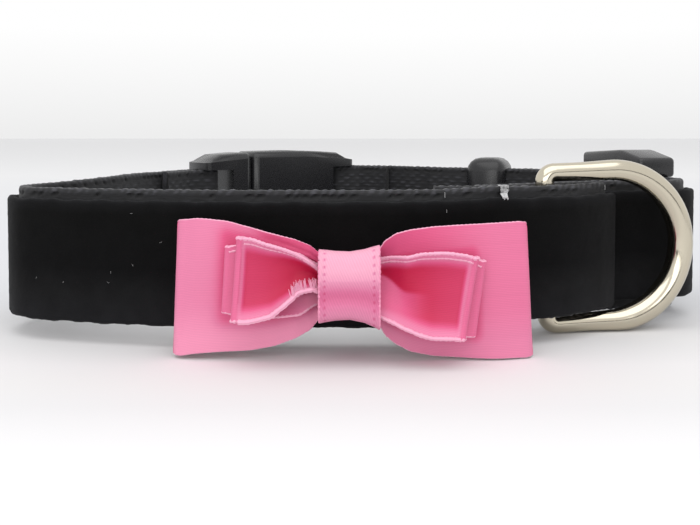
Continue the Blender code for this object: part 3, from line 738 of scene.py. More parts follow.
MIDDLE_FRONT = table_of(
    (-12.35, 5.45, 12.05, 6.15, 0.1, 0.2), (-11.2, 5.2, 12.3, 6.2, 0.3, 0.1), (-8.5, 5.0, 12.25, 5.85, 0.7),
    (-5.4, 5.2, 11.35, 5.3, 1.1), (-3.2, 6.2, 10.1, 4.7, 0.9), (0.0, 6.4, 9.9, 4.7, 0.2),
    (3.2, 5.6, 10.2, 4.7, 0.9), (5.4, 4.6, 10.9, 5.3, 1.1), (8.5, 3.6, 11.2, 5.9, 0.7, 0.2),
    (11.6, 3.1, 11.15, 6.2, 0.3, 0.4), (12.8, 3.0, 10.6, 6.15, 0.1, 0.5),
)
MIDDLE_BEHIND = table_of(
    (-12.35, 5.45, 12.05, 5.35, 0.1, 0.2), (-8.5, 5.0, 12.25, 5.25, 0.7), (-5.4, 5.2, 11.35, 4.75, 1.1),
    (-3.2, 6.2, 10.1, 4.1, 0.9), (0.0, 6.4, 9.9, 4.1, 0.2), (3.2, 5.6, 10.2, 4.1, 0.9), (5.4, 4.6, 10.9, 4.75, 1.1),
    (8.5, 3.6, 11.2, 5.3, 0.7, 0.2), (12.8, 3.0, 10.6, 5.35, 0.1, 0.5),
)
FRONT_FRONT = table_of(
    (-11.05, 4.95, 13.2, 7.75, 0.45, 0.33), (-10.3, 4.9, 13.15, 7.15, 1.0, 0.25), (-8.1, 5.4, 12.56, 6.9, 1.3),
    (-6.82, 6.29, 12.2, 6.75, 1.45), (-5.84, 7.13, 11.8, 6.6, 1.5), (-4.95, 7.88, 11.3, 6.45, 1.4),
    (-3.66, 8.01, 10.4, 6.2, 1.2), (-3.1, 7.68, 9.95, 6.1, 1.0), (0.0, 6.6, 9.9, 6.1, 0.2),
    (2.97, 5.2, 10.74, 6.1, 1.0), (4.35, 4.66, 11.08, 6.25, 1.2), (5.64, 4.1, 11.28, 6.5, 1.45),
    (7.2, 3.6, 11.67, 6.8, 1.45, 0.2), (8.8, 3.25, 11.73, 6.95, 1.2, 0.4), (10.8, 3.2, 11.5, 7.2, 0.9, 0.6),
    (11.65, 3.1, 11.2, 7.7, 0.45, 0.65),
)
FRONT_BEHIND = table_of(
    (-11.05, 4.95, 13.2, 6.95, 0.5, 0.33), (-8.1, 5.5, 12.5, 6.45, 1.3), (-5.84, 7.13, 11.7, 6.1, 1.5),
    (-3.66, 8.01, 10.4, 5.7, 1.2), (-3.1, 7.68, 9.95, 5.55, 1.0), (0.0, 6.6, 9.9, 5.5, 0.2),
    (2.97, 5.2, 10.74, 5.55, 1.0), (5.64, 4.2, 11.2, 5.95, 1.45), (8.8, 3.35, 11.65, 6.4, 1.2, 0.4),
    (11.65, 3.1, 11.2, 6.9, 0.5, 0.65),
)
RIBBON_STEP = 0.15
RIBBON_TURN_STEPS = 10
RIBBON_THICK = 0.26
SELVAGE_PITCH = 0.45


def crossing_at(rows, across):
    """The crossing of a ribbon at a place across it, on a smooth curve through the table's rows."""
    k = 0
    while k < len(rows) - 2 and rows[k + 1].across < across:
        k += 1
    start, end = rows[k], rows[k + 1]
    wide = end.across - start.across
    found = [across]
    for column in range(1, len(Crossing._fields)):
        slopes = []
        for at in (k, k + 1):
            near = rows[max(at - 1, 0):at + 2]
            rises = [(b[column] - a[column]) / (b.across - a.across) for a, b in zip(near, near[1:])]
            level = len(rises) == 2 and rises[0] * rises[1] <= 0
            slopes.append(0.0 if level else min(rises, key=abs))
        found.append(hermite((across - start.across) / wide, start[column], slopes[0], end[column], slopes[1], wide))
    return Crossing(*found)


def layer_of(rows):
    """A layer's crossings a step apart, from left to right, as an array with a row for each."""
    wide = rows[-1].across - rows[0].across
    count = round(wide / RIBBON_STEP)
    return np.array([crossing_at(rows, rows[0].across + wide * k / count) for k in range(count + 1)])


def folded_over(front, behind, way):
    """The crossings round the folded end of a loop, between the ends of its two layers."""
    angles = np.pi * np.arange(1, RIBBON_TURN_STEPS) / RIBBON_TURN_STEPS
    share = ((1 - np.cos(angles)) / 2)[:, None]
    arc = front * (1 - share) + behind * share
    arc[:, 0] += way * (front[3] - behind[3]) / 2 * np.sin(angles)
    return arc


def loop_of(front_rows, behind_rows):
    """A flattened loop of ribbon: its front layer from left to right, its right end, its layer behind and its
    left end, as crossings, with 1 for those in front, 0 for those behind and shares between round the ends."""
    front, behind = layer_of(front_rows), layer_of(behind_rows)[::-1]
    right = folded_over(front[-1], behind[0], 1)
    left = folded_over(behind[-1], front[0], 1)
    turn = (1 + np.cos(np.pi * np.arange(1, len(right) + 1) / (len(right) + 1))) / 2
    layers = np.concatenate([np.ones(len(front)), turn, np.zeros(len(behind)), 1 - turn])
    return np.concatenate([front, right, behind, left]), layers


def ribbon_grid(crossings, rows, layers, shaped):
    """Places of a ribbon's points, crossing by crossing from its bottom edge to its top one, and how much
    shade is painted on each, most deep in its folds. shaped gives how far forward of the ribbon's middle
    each point lies, and its painted shade."""
    share = np.linspace(-1, 1, rows)[None, :]
    across, bottom, top, forward, curl, sheen_by_height = (column[:, None] for column in crossings.T)
    ahead, deep = shaped(across, share, curl, layers[:, None])
    places = np.empty((len(crossings), rows, 3))
    places[..., 0] = across + sheen_by_height * share - CENTRE_X
    places[..., 1] = -(forward + ahead) - CENTRE_Y
    places[..., 2] = bottom + (top - bottom) * (share + 1) / 2
    return places, np.broadcast_to(deep, places.shape[:2])


def cloth_sheet(name, places, deep):
    """A closed band of cloth through a grid of places in millimetres. Its cloth UVs are metres along and
    across it, and deep is how dark each place is painted: shade, most deep in folds, and on the knot the
    dots of its selvages."""
    columns, rows = places.shape[:2]
    index = np.arange(columns * rows).reshape(columns, rows)
    nextward = np.roll(index, -1, axis=0)
    quads = np.stack([index[:, :-1], nextward[:, :-1], nextward[:, 1:], index[:, 1:]], axis=-1).reshape(-1, 4)
    middle = places[:, rows // 2]
    widest = places[np.argmax(places[:, -1, 2] - places[:, 0, 2])]
    along = walked_along(np.concatenate([middle, middle[:1]]))
    up = walked_along(widest)
    flat = np.empty((columns, rows - 1, 4, 2))
    flat[..., 0, 0] = flat[..., 3, 0] = along[:-1, None]
    flat[..., 1, 0] = flat[..., 2, 0] = along[1:, None]
    flat[..., 0, 1] = flat[..., 1, 1] = up[:-1]
    flat[..., 2, 1] = flat[..., 3, 1] = up[1:]
    return mesh_piece(name, places, quads.tolist(), flat * MM, deep=np.clip(deep, 0, 1))


def thread(path, radius, sides=6, closed=False, swell=1.0):
    """A thread along a path in millimetres. swell gives its thickness along it, as a share of its radius."""
    path = np.asarray(path, float)
    if closed:
        ahead = np.roll(path, -1, axis=0) - np.roll(path, 1, axis=0)
    else:
        ahead = np.gradient(path, axis=0)
    ahead /= np.linalg.norm(ahead, axis=1)[:, None]
    up = np.where(np.abs(ahead[:, 2:]) > 0.9, [0.0, 1.0, 0.0], [0.0, 0.0, 1.0])
    out = np.cross(ahead, up)
    out /= np.linalg.norm(out, axis=1)[:, None]
    up = np.cross(out, ahead)
    angles = 2 * np.pi * np.arange(sides) / sides
    radii = radius * np.broadcast_to(swell, len(path))
    ring = out[:, None] * np.cos(angles)[None, :, None] + up[:, None] * np.sin(angles)[None, :, None]
    places = path[:, None] + ring * radii[:, None, None]
    return mesh_piece("thread", places, tube_faces(len(path), sides, closed), selvage=1.0)


def beaded(path, radius, pitch=SELVAGE_PITCH, depth=0.4, closed=False):
    """A thread that swells and narrows along a path, a little unevenly."""
    walked = walked_along(np.concatenate([path, path[:1]]))
    total = walked[-1] if closed else walked[-2]
    swell = 1 - depth + depth * np.abs(np.cos(np.pi * round(total / pitch) * walked[:-1] / total))
    swell = swell * RANDOM.uniform(0.9, 1.1, len(path))
    return thread(path, radius, closed=closed, swell=swell)


def walled(sheet):
    """Gives a sheet of ribbon its thickness."""
    faced_outwards(sheet, SHARP_THIN_DEG)
    wall = sheet.modifiers.new("wall", "SOLIDIFY")
    wall.thickness = RIBBON_THICK * MM
    wall.offset = 0.0
    apply_modifiers(sheet)
    return sheet


def make_ribbon_loop(name, front_rows, behind_rows, rows, shaped, replaced, selvage, trimmings=None):
    """A loop of satin ribbon, with the beaded selvages along its two edges and its trimmings."""
    crossings, layers = loop_of(front_rows, behind_rows)
    places, deep = ribbon_grid(crossings, rows, layers, shaped)
    sheet = walled(cloth_sheet(name, places, deep))
    edges = [beaded(edge, selvage, closed=True) for edge in (places[:, 0], places[:, -1])]
    joined(sheet, [*edges, *(trimmings(places[layers == 1.0]) if trimmings else [])])
    faced_outwards(sheet, SHARP_CLOTH_DEG)
    return dress(sheet, SATIN, replaced)


# How far the knot reaches from the bow's middle, and where the ribbons come clear of it
KNOT_HALF = 3.0
CLEAR_LEFT = -3.0
CLEAR_RIGHT = 2.9
# The big loop's heights, the front loop's folded ends, and the outline of the small loops in front of the big one
BIG_MIDDLE_HEIGHT = 7.5
BIG_HALF_HEIGHT = 6.6
SMALL_LEFT_END = 11.05
SMALL_RIGHT_END = 11.65
SMALL_HALF_WIDTH = 12.6
SMALL_HALF_HEIGHT = 3.9
SMALL_MIDDLE_HEIGHT_LEFT = 8.6
SMALL_MIDDLE_HEIGHT_RIGHT = 7.3
FRAYED_THREADS = 70
FRAYED_SPAN = (-5.8, -3.1)
FORWARD = np.array([0.0, -1.0, 0.0])


def eased(value, start, end):
    """From 0 at start to 1 at end, smoothly."""
    share = np.clip((value - start) / (end - start), 0, 1)
    return share * share * (3 - 2 * share)


def near_knot(across, start, end=KNOT_HALF):
    """From 0 at start millimetres from the bow's middle to 1 at the knot."""
    return eased(-np.abs(across), -start, -end)


def groove(value, middle, width):
    """A narrow dip about a value, as a share of its depth."""
    return np.exp(-((value - middle) / width) ** 2)


def big_shape(across, share, curl, layer):
    """The big loop's faces fall back a little towards their edges, and pleat where they enter the knot. Their colour
    is painted with shade near the knot, in the folds, round the small loops and all over the layer behind, and
    painted lighter along the bottom.
    """
    pinch = near_knot(across, 9.5)
    left = across < 0
    creases = np.where(left, np.cos(7.5 * share + 0.9) * np.clip(share + 0.5, 0, 1), 0.7 * np.cos(5.0 * share))
    pleat = 0.34 * pinch * creases * np.where(layer > 0.5, 1, 0.6)
    crown = -0.3 * share**2 * (layer > 0.5) + 0.12 * np.cos(across * 0.55 + 2 * share)
    folds = sum(groove(share, middle + spread * near_knot(across, 10.5), 0.045)
                for middle, spread in ((0.93, -0.12), (0.78, -0.1), (0.6, -0.02)))
    folds = folds * left * eased(-across, 3.0, 3.6) * near_knot(across, 10.5, 6.0)
    ahead = pleat + crown * (1 - pinch) - 0.16 * folds
    # Painted shade near the knot: on the left towards its top, on the right a little all over and more near the
    # knot's top
    shade = np.where(left, 0.42 * near_knot(across, 13.0, 6.0) * eased(share, -0.4, 0.7),
                     0.12 + 0.2 * near_knot(across, 16.0, 7.0) * eased(share, -0.3, 0.7))
    # Painted shade: the small loops keep the light from the satin round them
    height = BIG_MIDDLE_HEIGHT + BIG_HALF_HEIGHT * share
    middle = np.where(left, SMALL_MIDDLE_HEIGHT_LEFT, SMALL_MIDDLE_HEIGHT_RIGHT)
    beyond = np.hypot(np.maximum(np.abs(across) - SMALL_HALF_WIDTH, 0),
                      np.maximum(np.abs(height - middle) - SMALL_HALF_HEIGHT, 0))
    halo = 0.45 * np.exp(-(beyond / 1.1) ** 2)
    # Painted light: the lit colour along the bottom; painted shade in the folds, capped
    open_part = 0.15 * eased(share, -0.95, -0.1)
    depth = np.minimum(open_part + np.maximum(shade, halo) + 0.5 * folds, np.where(share > 0, 0.6, 0.45))
    # The layer behind is painted in shade all over
    return ahead, np.where(layer > 0.5, depth, 0.7)


def small_shape(across, share, curl, layer):
    """A small loop is a tray whose two rims curl forward and whose folded ends stand up a little. It deepens
    to a fold where it enters the knot. Its colour is painted with shade inside the tray and along its folded
    ends, and on the right in a wedge along its crease."""
    pinch = near_knot(across, 7.0)
    right = across > 0
    crease = np.where(right, 0.45 * near_knot(across, 5.8), 0.1 * pinch)
    apart = np.abs(share - crease) / (1 + np.abs(crease))
    power = 3.4 - 1.9 * pinch
    end = np.where(right, SMALL_RIGHT_END - across, SMALL_LEFT_END + across)
    hem = 0.1 * groove(end, 0.2, 0.08) * (layer > 0.5)
    ahead = curl * apart**power - (0.35 + 0.45 * right) * pinch * (1 - apart) - hem
    # Painted shade: inside the tray and along the folded ends; on the right, less below the crease near the knot,
    # and a dark wedge along it
    inside = eased(1 - np.abs(share), 0.06, 0.4) * (0.82 * eased(end, 0.15, 0.6) + 0.18 * eased(end, 0.6, 6.5))
    below = np.where(right, eased(crease - share, -0.02, 0.12) * near_knot(across, 8.5, 4.5), 0.0)
    depth = 0.12 + 0.86 * inside * (1 - 0.65 * below) + 0.24 * (1 - eased(end, 0.0, 0.25))
    wedge = right * 0.9 * groove(share, crease + 0.04, 0.1) * near_knot(across, 6.6, 4.6)
    return ahead, np.maximum(depth, wedge)


def middle_shape(across, share, curl, layer):
    """The middle loop is a flatter tray. Its colour is painted with shade where the front one covers it, most in its
    upper part near the knot and least in its lower part at the knot.
    """
    ahead, _ = small_shape(across, share, curl, layer)
    open_part = 0.34 * (1 - near_knot(across, 8.0) * eased(-share, 0.2, 0.6))
    return ahead, open_part + 0.5 * near_knot(across, 10.5, 6.0) * eased(share, -0.6, 0.4)


def second_beads(front, left, right, radius):
    """The second bead inside a small loop's top rim, on both sides of the knot."""
    return [beaded(front[some, -3] + FORWARD * 0.08, radius) for some in (left, right)]


def front_trimmings(front):
    """The front loop's thick rolled rims, the second bead inside its top rim, and the threads that have
    frayed from its cut edge near the knot. front is the front layer's grid of places."""
    across = front[:, 0, 0] + CENTRE_X
    left = (across > -11.2) & (across < CLEAR_LEFT)
    right = (across > CLEAR_RIGHT) & (across < 11.7)
    made = [
        beaded(front[left, 0] + FORWARD * 0.1, 0.31, 0.5, 0.24),
        beaded(front[right, 0] + FORWARD * 0.05, 0.25, 0.5, 0.3),
        *second_beads(front, left, right, 0.15),
    ]
    for _ in range(FRAYED_THREADS):
        root = front[np.argmin(np.abs(across - RANDOM.uniform(*FRAYED_SPAN))), 0] + FORWARD * 0.25
        sheen_by_height, tall = RANDOM.uniform(-0.35, 0.2), RANDOM.uniform(0.8, 1.3)
        path = [root + np.array([sheen_by_height * s, -0.15 * s, tall * s]) for s in (0.0, 0.35, 0.7, 1.0)]
        made.append(thread(path, 0.04, sides=4, swell=[1.0, 1.0, 0.9, 0.6]))
    return made


def middle_trimmings(front):
    """The second bead inside the middle loop's top rim."""
    across = front[:, 0, 0] + CENTRE_X
    return second_beads(front, across < CLEAR_LEFT, across > CLEAR_RIGHT, 0.13)


# The knot's top and bottom at places across it, and its outline seen from its end, from the middle of its
# front: how far forward of the velvet, and the share from its bottom to its top
KNOT_STEP = 0.12
KNOT_DOT_PITCH = 0.72
KNOT_ACROSS = (-3.05, -1.5, 0, 1.5, 2.92)
KNOT_TOP = (11.84, 11.66, 11.6, 11.85, 12.3)
KNOT_BOTTOM = (4.49, 4.74, 4.83, 4.5, 3.83)
KNOT_OUTLINE = (
    (7.95, 0.6), (7.85, 0.76), (7.3, 0.93), (6.3, 0.985), (4.6, 0.93), (2.6, 0.86), (1.1, 0.8), (0.5, 0.7),
    (0.45, 0.5), (0.6, 0.25), (1.3, 0.12), (3.0, 0.09), (5.0, 0.05), (6.6, 0.015), (7.5, 0.06), (7.95, 0.2),
    (7.78, 0.36), (7.82, 0.48),
)


def make_knot():
    """The band round the bow's waist: satin ribbon, flared at its edges, with their dotted selvages, and painted
    shade below its middle and towards its bottom.
    """
    left, right = KNOT_ACROSS[0], KNOT_ACROSS[-1]
    across = np.linspace(left, right, round((right - left) / KNOT_STEP) + 1)
    top = np.interp(across, KNOT_ACROSS, KNOT_TOP)
    bottom = np.interp(across, KNOT_ACROSS, KNOT_BOTTOM)
    # The outline is smoothed at about the band's real height
    fine = smooth_line([(out, 10 * share) for out, share in (*KNOT_OUTLINE, KNOT_OUTLINE[0])], KNOT_STEP)[:-1]
    forward, height = np.array([(p[0], p[1] / 10) for p in fine]).T[..., None]
    from_edge = np.minimum(across - left, right - across)[None]
    places = np.empty((len(fine), len(across), 3))
    places[..., 0] = across[None] - CENTRE_X
    places[..., 1] = -forward - CENTRE_Y - 0.16 * eased(-from_edge, -0.5, 0.0)
    places[..., 2] = bottom[None] + (top - bottom)[None] * height
    # Painted shade: a darker band below the knot's middle, and darker towards its bottom
    shade = 0.04 + 0.5 * groove(height, 0.38, 0.17) + 0.2 * eased(-height, -0.7, 0.0)
    dotted = eased(np.cos(2 * np.pi * walked_along(places[:, 0])[:, None] / KNOT_DOT_PITCH), 0.0, 0.8)
    dots = groove(from_edge, 0.5, 0.12) * dotted
    band = walled(cloth_sheet("bow_knot_band", places, shade + 0.42 * dots))
    joined(band, [beaded(edge, 0.15, 0.5, closed=True) for edge in (places[:, 0], places[:, -1])])
    faced_outwards(band, SHARP_CLOTH_DEG)
    return dress(band, KNOT_SATIN, "bow_knot")


BIG_LOOP = make_ribbon_loop("bow_big_loop", BIG_FRONT, BIG_BEHIND, 48, big_shape, "bow_back_ribbon", 0.13)
make_ribbon_loop("bow_middle_loop", MIDDLE_FRONT, MIDDLE_BEHIND, 30, middle_shape, "bow_middle_ribbon", 0.16,
                 middle_trimmings)
make_ribbon_loop("bow_front_loop", FRONT_FRONT, FRONT_BEHIND, 34, small_shape, "bow_front_ribbon", 0.21,
                 front_trimmings)
make_knot()

# The D-ring


def make_ring():
    """The D-ring, a round wire bent up from the middle of its bar, round the bow side and back. Its legs
    spread a little from the bar to the round."""
    rise = (RING_CLEAR_HEIGHT + RING_WIRE) / 2
    corner = rise - RING_CORNER
    ring = added(bpy.ops.mesh.primitive_circle_add, "d_ring_wire", vertices=28, radius=RING_WIRE / 2 * MM)

    def run(x, z, steps):
        for _ in range(steps):
            bpy.ops.mesh.extrude_region_move(
                TRANSFORM_OT_translate={"value": (x * MM / steps, 0.0, z * MM / steps)})

    def bend(x, z, angle, steps):
        bpy.ops.mesh.spin(steps=steps, angle=math.radians(angle), center=(x * MM, 0.0, z * MM),
                          axis=(0.0, -1.0, 0.0))

    with editing(ring):
        run(0.0, corner, 6)
        bend(RING_CORNER, corner, 90, 14)
        run(RING_LEG - RING_CORNER, RING_SPREAD, 5)
        bend(RING_LEG, 0.0, 180, 64)
        run(RING_CORNER - RING_LEG, RING_SPREAD, 5)
        bend(RING_CORNER, -corner, 90, 14)
        run(0.0, corner, 6)
        bpy.ops.mesh.select_all(action="SELECT")
        bpy.ops.mesh.remove_doubles(threshold=MERGE * MM)
        bpy.ops.mesh.normals_make_consistent(inside=False)
    swell = ring.vertex_groups.new(name="swell")
    for vertex in ring.data.vertices:
        stops, shares = UPPER_SWELL if vertex.co.z > 0 else LOWER_SWELL
        swell.add([vertex.index], float(np.interp(vertex.co.x / MM, stops, shares)), "REPLACE")
    thicker = ring.modifiers.new("swell", "DISPLACE")
    thicker.vertex_group = "swell"
    thicker.strength = RING_SWELL * MM
    thicker.mid_level = 0.0
    apply_modifiers(ring)
    ring.rotation_euler = (0.0, math.radians(RING_TILT_DEG), math.radians(RING_SWING_DEG))
    ring.location = plan(RING_BAR, STRAP_BOTTOM + WEBBING_WIDTH / 2)
    settle(ring)
    bpy.ops.object.shade_smooth()
    return dress(ring, NICKEL, "d_ring", "ring")


make_ring()

# The fittings


def box_between(low, high):
    """A box between two corners in millimetres."""
    box = added(bpy.ops.mesh.primitive_cube_add, size=1.0, location=[(a + b) / 2 * MM for a, b in zip(low, high)])
    box.scale = [(b - a) * MM for a, b in zip(low, high)]
    settle(box)
    return box


def move_vertices(target, test, shift):
    """Moves those vertices whose place in millimetres passes a test, by a shift in millimetres."""
    with editing(target):
        bpy.ops.mesh.select_mode(type="VERT")
        bpy.ops.mesh.select_all(action="DESELECT")
        mesh = bmesh.from_edit_mesh(target.data)
        for vertex in mesh.verts:
            vertex.select = bool(test(vertex.co / MM))
        mesh.select_flush_mode()
        bmesh.update_edit_mesh(target.data)
        bpy.ops.transform.translate(value=[s * MM for s in shift])


def rounded(box, rounding):
    """A box with all of its edges rounded."""
    with editing(box):
        bpy.ops.mesh.bevel(offset=rounding * MM, segments=4, affect="EDGES")
    return box


def round_bar(x, low, high):
    """An upright round bar between two heights."""
    return added(bpy.ops.mesh.primitive_cylinder_add, vertices=24, radius=BAR_THICK / 2 * MM,
                 depth=(high - low) * MM, location=(x * MM, 0.0, (low + high) / 2 * MM))


def placed(name, parts, centre, heading_deg, replaced):
    """One moulding from parts that were built along X about the plan's zero, put in its place."""
    made = joined(parts[0], parts[1:])
    made.name = name
    made.location = plan(centre)
    made.rotation_euler = (0.0, 0.0, math.radians(heading_deg))
    settle(made)
    bpy.ops.object.shade_smooth_by_angle(angle=math.radians(SHARP_EDGE_DEG))
    return dress(made, ACETAL, replaced)


def make_slider():
    """The slider: two deep rails joined by three bars. Its upper rail rises from its near end to a crest and
    falls a little beyond it."""
    half, side = SLIDER_LENGTH / 2, SLIDER_THICK / 2
    rails = []
    for low, high in ((0.0, STRAP_BOTTOM - WEAVE_CLEAR), (STRAP_TOP + WEAVE_CLEAR, SLIDER_HEIGHT)):
        rail = box_between((-half, -side - RAIL_OUT, low), (half + RAIL_ON, side, high))
        with editing(rail):
            bpy.ops.mesh.bisect(plane_co=((SLIDER_CREST - half) * MM, 0.0, 0.0), plane_no=(1.0, 0.0, 0.0))
        rails.append(rail)
    for place, rise in ((-half, -SLIDER_END_DROP), (SLIDER_CREST - half, SLIDER_CREST_RISE)):
        move_vertices(rails[1], lambda p, x=place: p.z > SLIDER_HEIGHT - NEAR and abs(p.x - x) < NEAR,
                      (0.0, 0.0, rise))
    rails = [rounded(rail, SLIDER_ROUNDING) for rail in rails]
    bars = [round_bar(x, BAR_INSET, SLIDER_HEIGHT - BAR_INSET)
            for x in (BAR_THICK / 2 - half, 0.0, half - BAR_THICK / 2)]
    placed("slider_moulding", [*rails, *bars], SLIDER_CENTRE, SLIDER_HEADING_DEG, "slider")


def make_keeper():
    """The keeper, a rounded loop round the strap."""
    half, side = KEEPER_LENGTH / 2, KEEPER_DEPTH / 2
    loop = rounded(box_between((-half, -side, KEEPER_BOTTOM), (half, side, KEEPER_TOP)), KEEPER_ROUNDING)
    hole = rounded(box_between((-half - CUT_PAST, KEEPER_WALL - side, STRAP_BOTTOM - WEAVE_CLEAR),
                               (half + CUT_PAST, side - KEEPER_WALL, STRAP_TOP + WEAVE_CLEAR)),
                   KEEPER_HOLE_ROUNDING)
    cut = loop.modifiers.new("hole", "BOOLEAN")
    cut.object = hole
    cut.solver = "EXACT"
    apply_modifiers(loop)
    bpy.data.objects.remove(hole, do_unlink=True)
    placed("keeper_moulding", [loop], KEEPER_CENTRE, KEEPER_HEADING_DEG, "strap_keeper")


def make_buckle_half(node, name, way, pulled_in):
    """A half of the buckle from a copy of its CAD mesh: the rails beside its strap deepen to the strap's edges,
    and its end is drawn in and rounded. way is -1 at the plug's end and 1 at the socket's."""
    source = frame["nodes"][node]
    made = source.copy()
    made.data = source.data.copy()
    made.name = name
    bpy.context.scene.collection.objects.link(made)
    settle(made)
    with editing(made):
        bpy.ops.mesh.remove_doubles(threshold=MERGE * MM)
        bpy.ops.mesh.dissolve_limited(angle_limit=math.radians(FLAT_DEG))
    axis = (Vector(SOCKET_BAR) - Vector(PLUG_BAR)).normalized()
    end = plan(PLUG_BAR if way < 0 else SOCKET_BAR) / MM

    def reach(p):
        return ((p - end).xy @ axis) * way

    middle = BUCKLE_HEIGHT / 2
    slot = BUCKLE_SLOT_HEIGHT / 2
    move_vertices(made, lambda p: abs(p.z - middle - slot) < NEAR and reach(p) > -BUCKLE_SLOT_REACH,
                  (0.0, 0.0, STRAP_TOP + WEAVE_CLEAR - middle - slot))
    inward = (-axis.x * way * pulled_in, -axis.y * way * pulled_in)
    corner = slot + BUCKLE_CORNER
    for up in (1, -1):
        move_vertices(made, lambda p, up=up: (p.z - middle) * up > corner and reach(p) > -BUCKLE_END_REACH,
                      (*inward, -BUCKLE_END_DROP * up))
    faced_outwards(made, SHARP_EDGE_DEG)
    return dress(made, ACETAL, node)


make_slider()
make_keeper()
make_buckle_half("buckle_plug", "buckle_plug_moulding", -1, 0.5)
make_buckle_half("buckle_socket", "buckle_socket_moulding", 1, 1.1)

# Sewing and lint

# The stretch of the front webbing that shows from the front, up to a place in the plan
FRONT_FACE_BACK = 12.0
FRONT_FACE = [p for p in LINES["front_webbing"] if p.y < FRONT_FACE_BACK]


def on_strap(x, out, height):
    """A place beside the front webbing's middle, out millimetres towards the viewer, in millimetres."""
    k = min(range(len(FRONT_FACE)), key=lambda n: abs(FRONT_FACE[n].x - x) + 0.2 * FRONT_FACE[n].y)
    out_way = outward_at(FRONT_FACE, k)
    before, after = FRONT_FACE[max(k - 1, 0)], FRONT_FACE[min(k + 1, len(FRONT_FACE) - 1)]
    slope = (after.y - before.y) / (after.x - before.x)
    middle = Vector((x, FRONT_FACE[k].y + slope * (x - FRONT_FACE[k].x)))
    spot = middle + out_way * out
    return np.array([spot.x - CENTRE_X, spot.y - CENTRE_Y, height])


WEB_FACE = WEBBING_THICK / 2
PILE_FACE = WEB_FACE + GAP + VELVET_THICK
# The bar of stitches: where it starts along the strap, its stitches and how far apart they are. They lean
# together towards their feet.
BARTACK_START = 16.5
BARTACK_STITCHES = 9
BARTACK_PITCH = 0.11
BARTACK_LEAN = 0.6
# The single threads: a place along the strap, a radius, and how far out and how high their points lie
SINGLE_THREADS = (
    (10.35, 0.022, ((WEB_FACE + 0.2, 17.1), (WEB_FACE + 0.22, 16.8), (WEB_FACE + 0.24, 16.5))),
    (10.35, 0.014, ((PILE_FACE + 0.03, 15.3), (PILE_FACE + 0.03, 14.95))),
    (30.0, 0.035, ((WEB_FACE + 0.12, 17.4), (WEB_FACE + 0.14, 17.1), (WEB_FACE + 0.14, 16.8))),
)
# The lint's places along the strap and heights
LINT = ((-23.7, 14.7), (-35.0, 7.1), (-31.7, 6.8), (-26.1, 8.1), (-26.4, 7.0), (-23.6, 9.0), (-20.5, 11.6))


def make_white_threads():
    """What shows pale on the strap: a bar of white stitches, single threads, and lint on the velvet."""
    threads = []
    for k in range(BARTACK_STITCHES):
        x, foot = BARTACK_START + BARTACK_PITCH * k + RANDOM.normal(0.0, 0.03), RANDOM.uniform(16.3, 16.6)
        end = BARTACK_START - 0.14 + BARTACK_LEAN * (x - BARTACK_START)
        path = [(x, WEB_FACE - 0.4, 17.72), (x, WEB_FACE + 0.26, 17.74), (x, WEB_FACE + 0.36, 17.3),
                (0.4 * x + 0.6 * end, WEB_FACE + 0.5, 16.9), (end, PILE_FACE + 0.02, foot)]
        threads.append(thread([on_strap(*p) for p in path], RANDOM.uniform(0.07, 0.11)))
    for x, radius, stretch in SINGLE_THREADS:
        threads.append(thread([on_strap(x, out, z) for out, z in stretch], radius))
    for x, z in LINT:
        turn, size = RANDOM.uniform(0, math.pi), RANDOM.uniform(0.06, 0.14)
        path = [on_strap(x + size * s * math.cos(turn), PILE_FACE + 0.05 + 0.05 * (1 - s * s),
                         z + size * s * math.sin(turn) + 0.08 * s * s) for s in (-1.0, -0.4, 0.3, 1.0)]
        threads.append(thread(path, 0.009, sides=4))
    white = joined(threads[0], threads[1:])
    white.name = "white_stitches_and_lint"
    faced_outwards(white, SHARP_THIN_DEG)
    dress(white, THREAD)


make_white_threads()

# The stage, in metres: a pale floor, a dark flag, soft lights and the camera

FLOOR_SIZE = 8.0
# Where the floor's ramp of tones, with its painted light and shade, begins and ends, from before the collar to
# behind it
FLOOR_SHADES = (-0.06, 0.34)
FLAG_PLACE = (0.0, -0.9, 0.03)
FLAG_SIZE = (2.4, 0.16)
CAMERA_CLIP_START = 0.005


def make_floor():
    """A pale board, a little greyer towards the back. Its colour is painted lighter just before the collar, where
    the bow's shadow falls, and darker as shade in and behind the collar's loop.
    """
    floor = added(bpy.ops.mesh.primitive_plane_add, "floor", size=FLOOR_SIZE)
    made, tree, shader = new_material("pale_board_painted_light_and_shade", Roughness=0.8, Specular_IOR_Level=0.1)
    parts = add_node(tree, "SeparateXYZ", Vector=add_node(tree, "TexCoord").outputs["Object"])
    back = add_node(tree, "MapRange", Value=parts.outputs["Y"], From_Min=FLOOR_SHADES[0], From_Max=FLOOR_SHADES[1])
    ramp = add_node(tree, "ValToRGB", Fac=back)
    # Painted light where the bow's shadow falls before the collar; painted shade in and behind its loop
    set_stops(ramp, (0.0, "#e4e4e5"), (0.009, "#e0e0e1"), (0.03, "#dadadb"), (0.046, "#dddcdc"),
              (0.0625, "#e1dfe0"), (0.085, "#dddcdd"), (0.15, "#cfd0d3"), (0.28, "#d0d1d5"), (1.0, "#e2e2e3"))
    fill(shader, Base_Color=ramp)
    floor.data.materials.append(made)


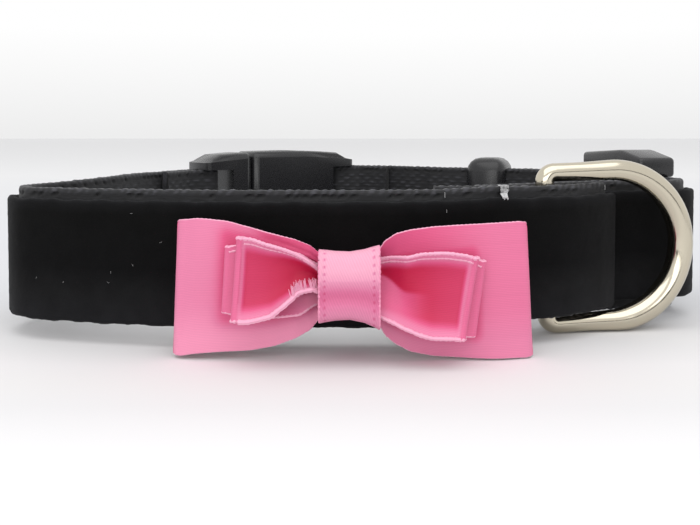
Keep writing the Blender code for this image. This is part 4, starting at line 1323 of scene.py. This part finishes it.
def make_flag():
    """A dark flag before the collar, which only its glossy surfaces see, as the dark end of a studio."""
    flag = added(bpy.ops.mesh.primitive_plane_add, "dark_flag", size=1.0, location=FLAG_PLACE,
                 rotation=(math.radians(90), 0.0, 0.0))
    flag.scale = (*FLAG_SIZE, 1.0)
    settle(flag)
    flag.data.materials.append(new_material("black_felt", Base_Color=linear("#1a1815"), Roughness=1.0)[0])
    for way in ("camera", "diffuse", "shadow", "transmission", "volume_scatter"):
        setattr(flag, f"visible_{way}", False)


def add_light(name, place, aim, size, power):
    """A white softbox at a place, turned to what it aims at."""
    data = bpy.data.lights.new(name, "AREA")
    data.shape = "RECTANGLE"
    data.size, data.size_y = size
    data.energy = power
    lamp = linked(name, data)
    lamp.location = place
    lamp.rotation_euler = (Vector(place) - Vector(aim)).to_track_quat("Z", "Y").to_euler()


def make_world():
    """A pale studio all round, which whitens upward from its horizon."""
    world = bpy.data.worlds.new("studio")
    world.use_nodes = True
    bpy.context.scene.world = world
    tree = world.node_tree
    parts = add_node(tree, "SeparateXYZ", Vector=add_node(tree, "TexCoord").outputs["Generated"])
    ramp = add_node(tree, "ValToRGB", Fac=parts.outputs["Z"])
    set_stops(ramp, (0.0, "#eeeeee"), (0.06, "#f7f7f7"), (0.12, "#ffffff"))
    fill(tree.nodes["Background"], Color=ramp, Strength=1.0)


def make_camera():
    """The photograph's camera."""
    data = bpy.data.cameras.new("camera")
    data.sensor_width = SENSOR_WIDTH
    data.lens = CAMERA_FOCAL_PIXELS / PHOTO_WIDTH * SENSOR_WIDTH
    data.clip_start = CAMERA_CLIP_START
    camera = linked("camera", data)
    camera.location = (-CENTRE_X * MM, -(CENTRE_Y + CAMERA_DISTANCE) * MM, CAMERA_HEIGHT * MM)
    camera.rotation_euler = (math.radians(90 - CAMERA_PITCH_DEG), 0.0, 0.0)
    data.shift_y = (LENS_MIDDLE_PIXELS - PHOTO_HEIGHT / 2) / PHOTO_WIDTH
    bpy.context.scene.camera = camera


make_floor()
make_flag()
make_world()
add_light("overhead_softbox", (0.0, -0.26, 0.5), (0.0, 0.0, 0.0), (0.7, 0.6), 1.58)
add_light("low_front_fill", (-0.05, -0.6, 0.12), (0.0, -0.03, 0.0), (0.6, 0.2), 0.8)
make_camera()
bpy.context.scene.view_settings.view_transform = "Standard"
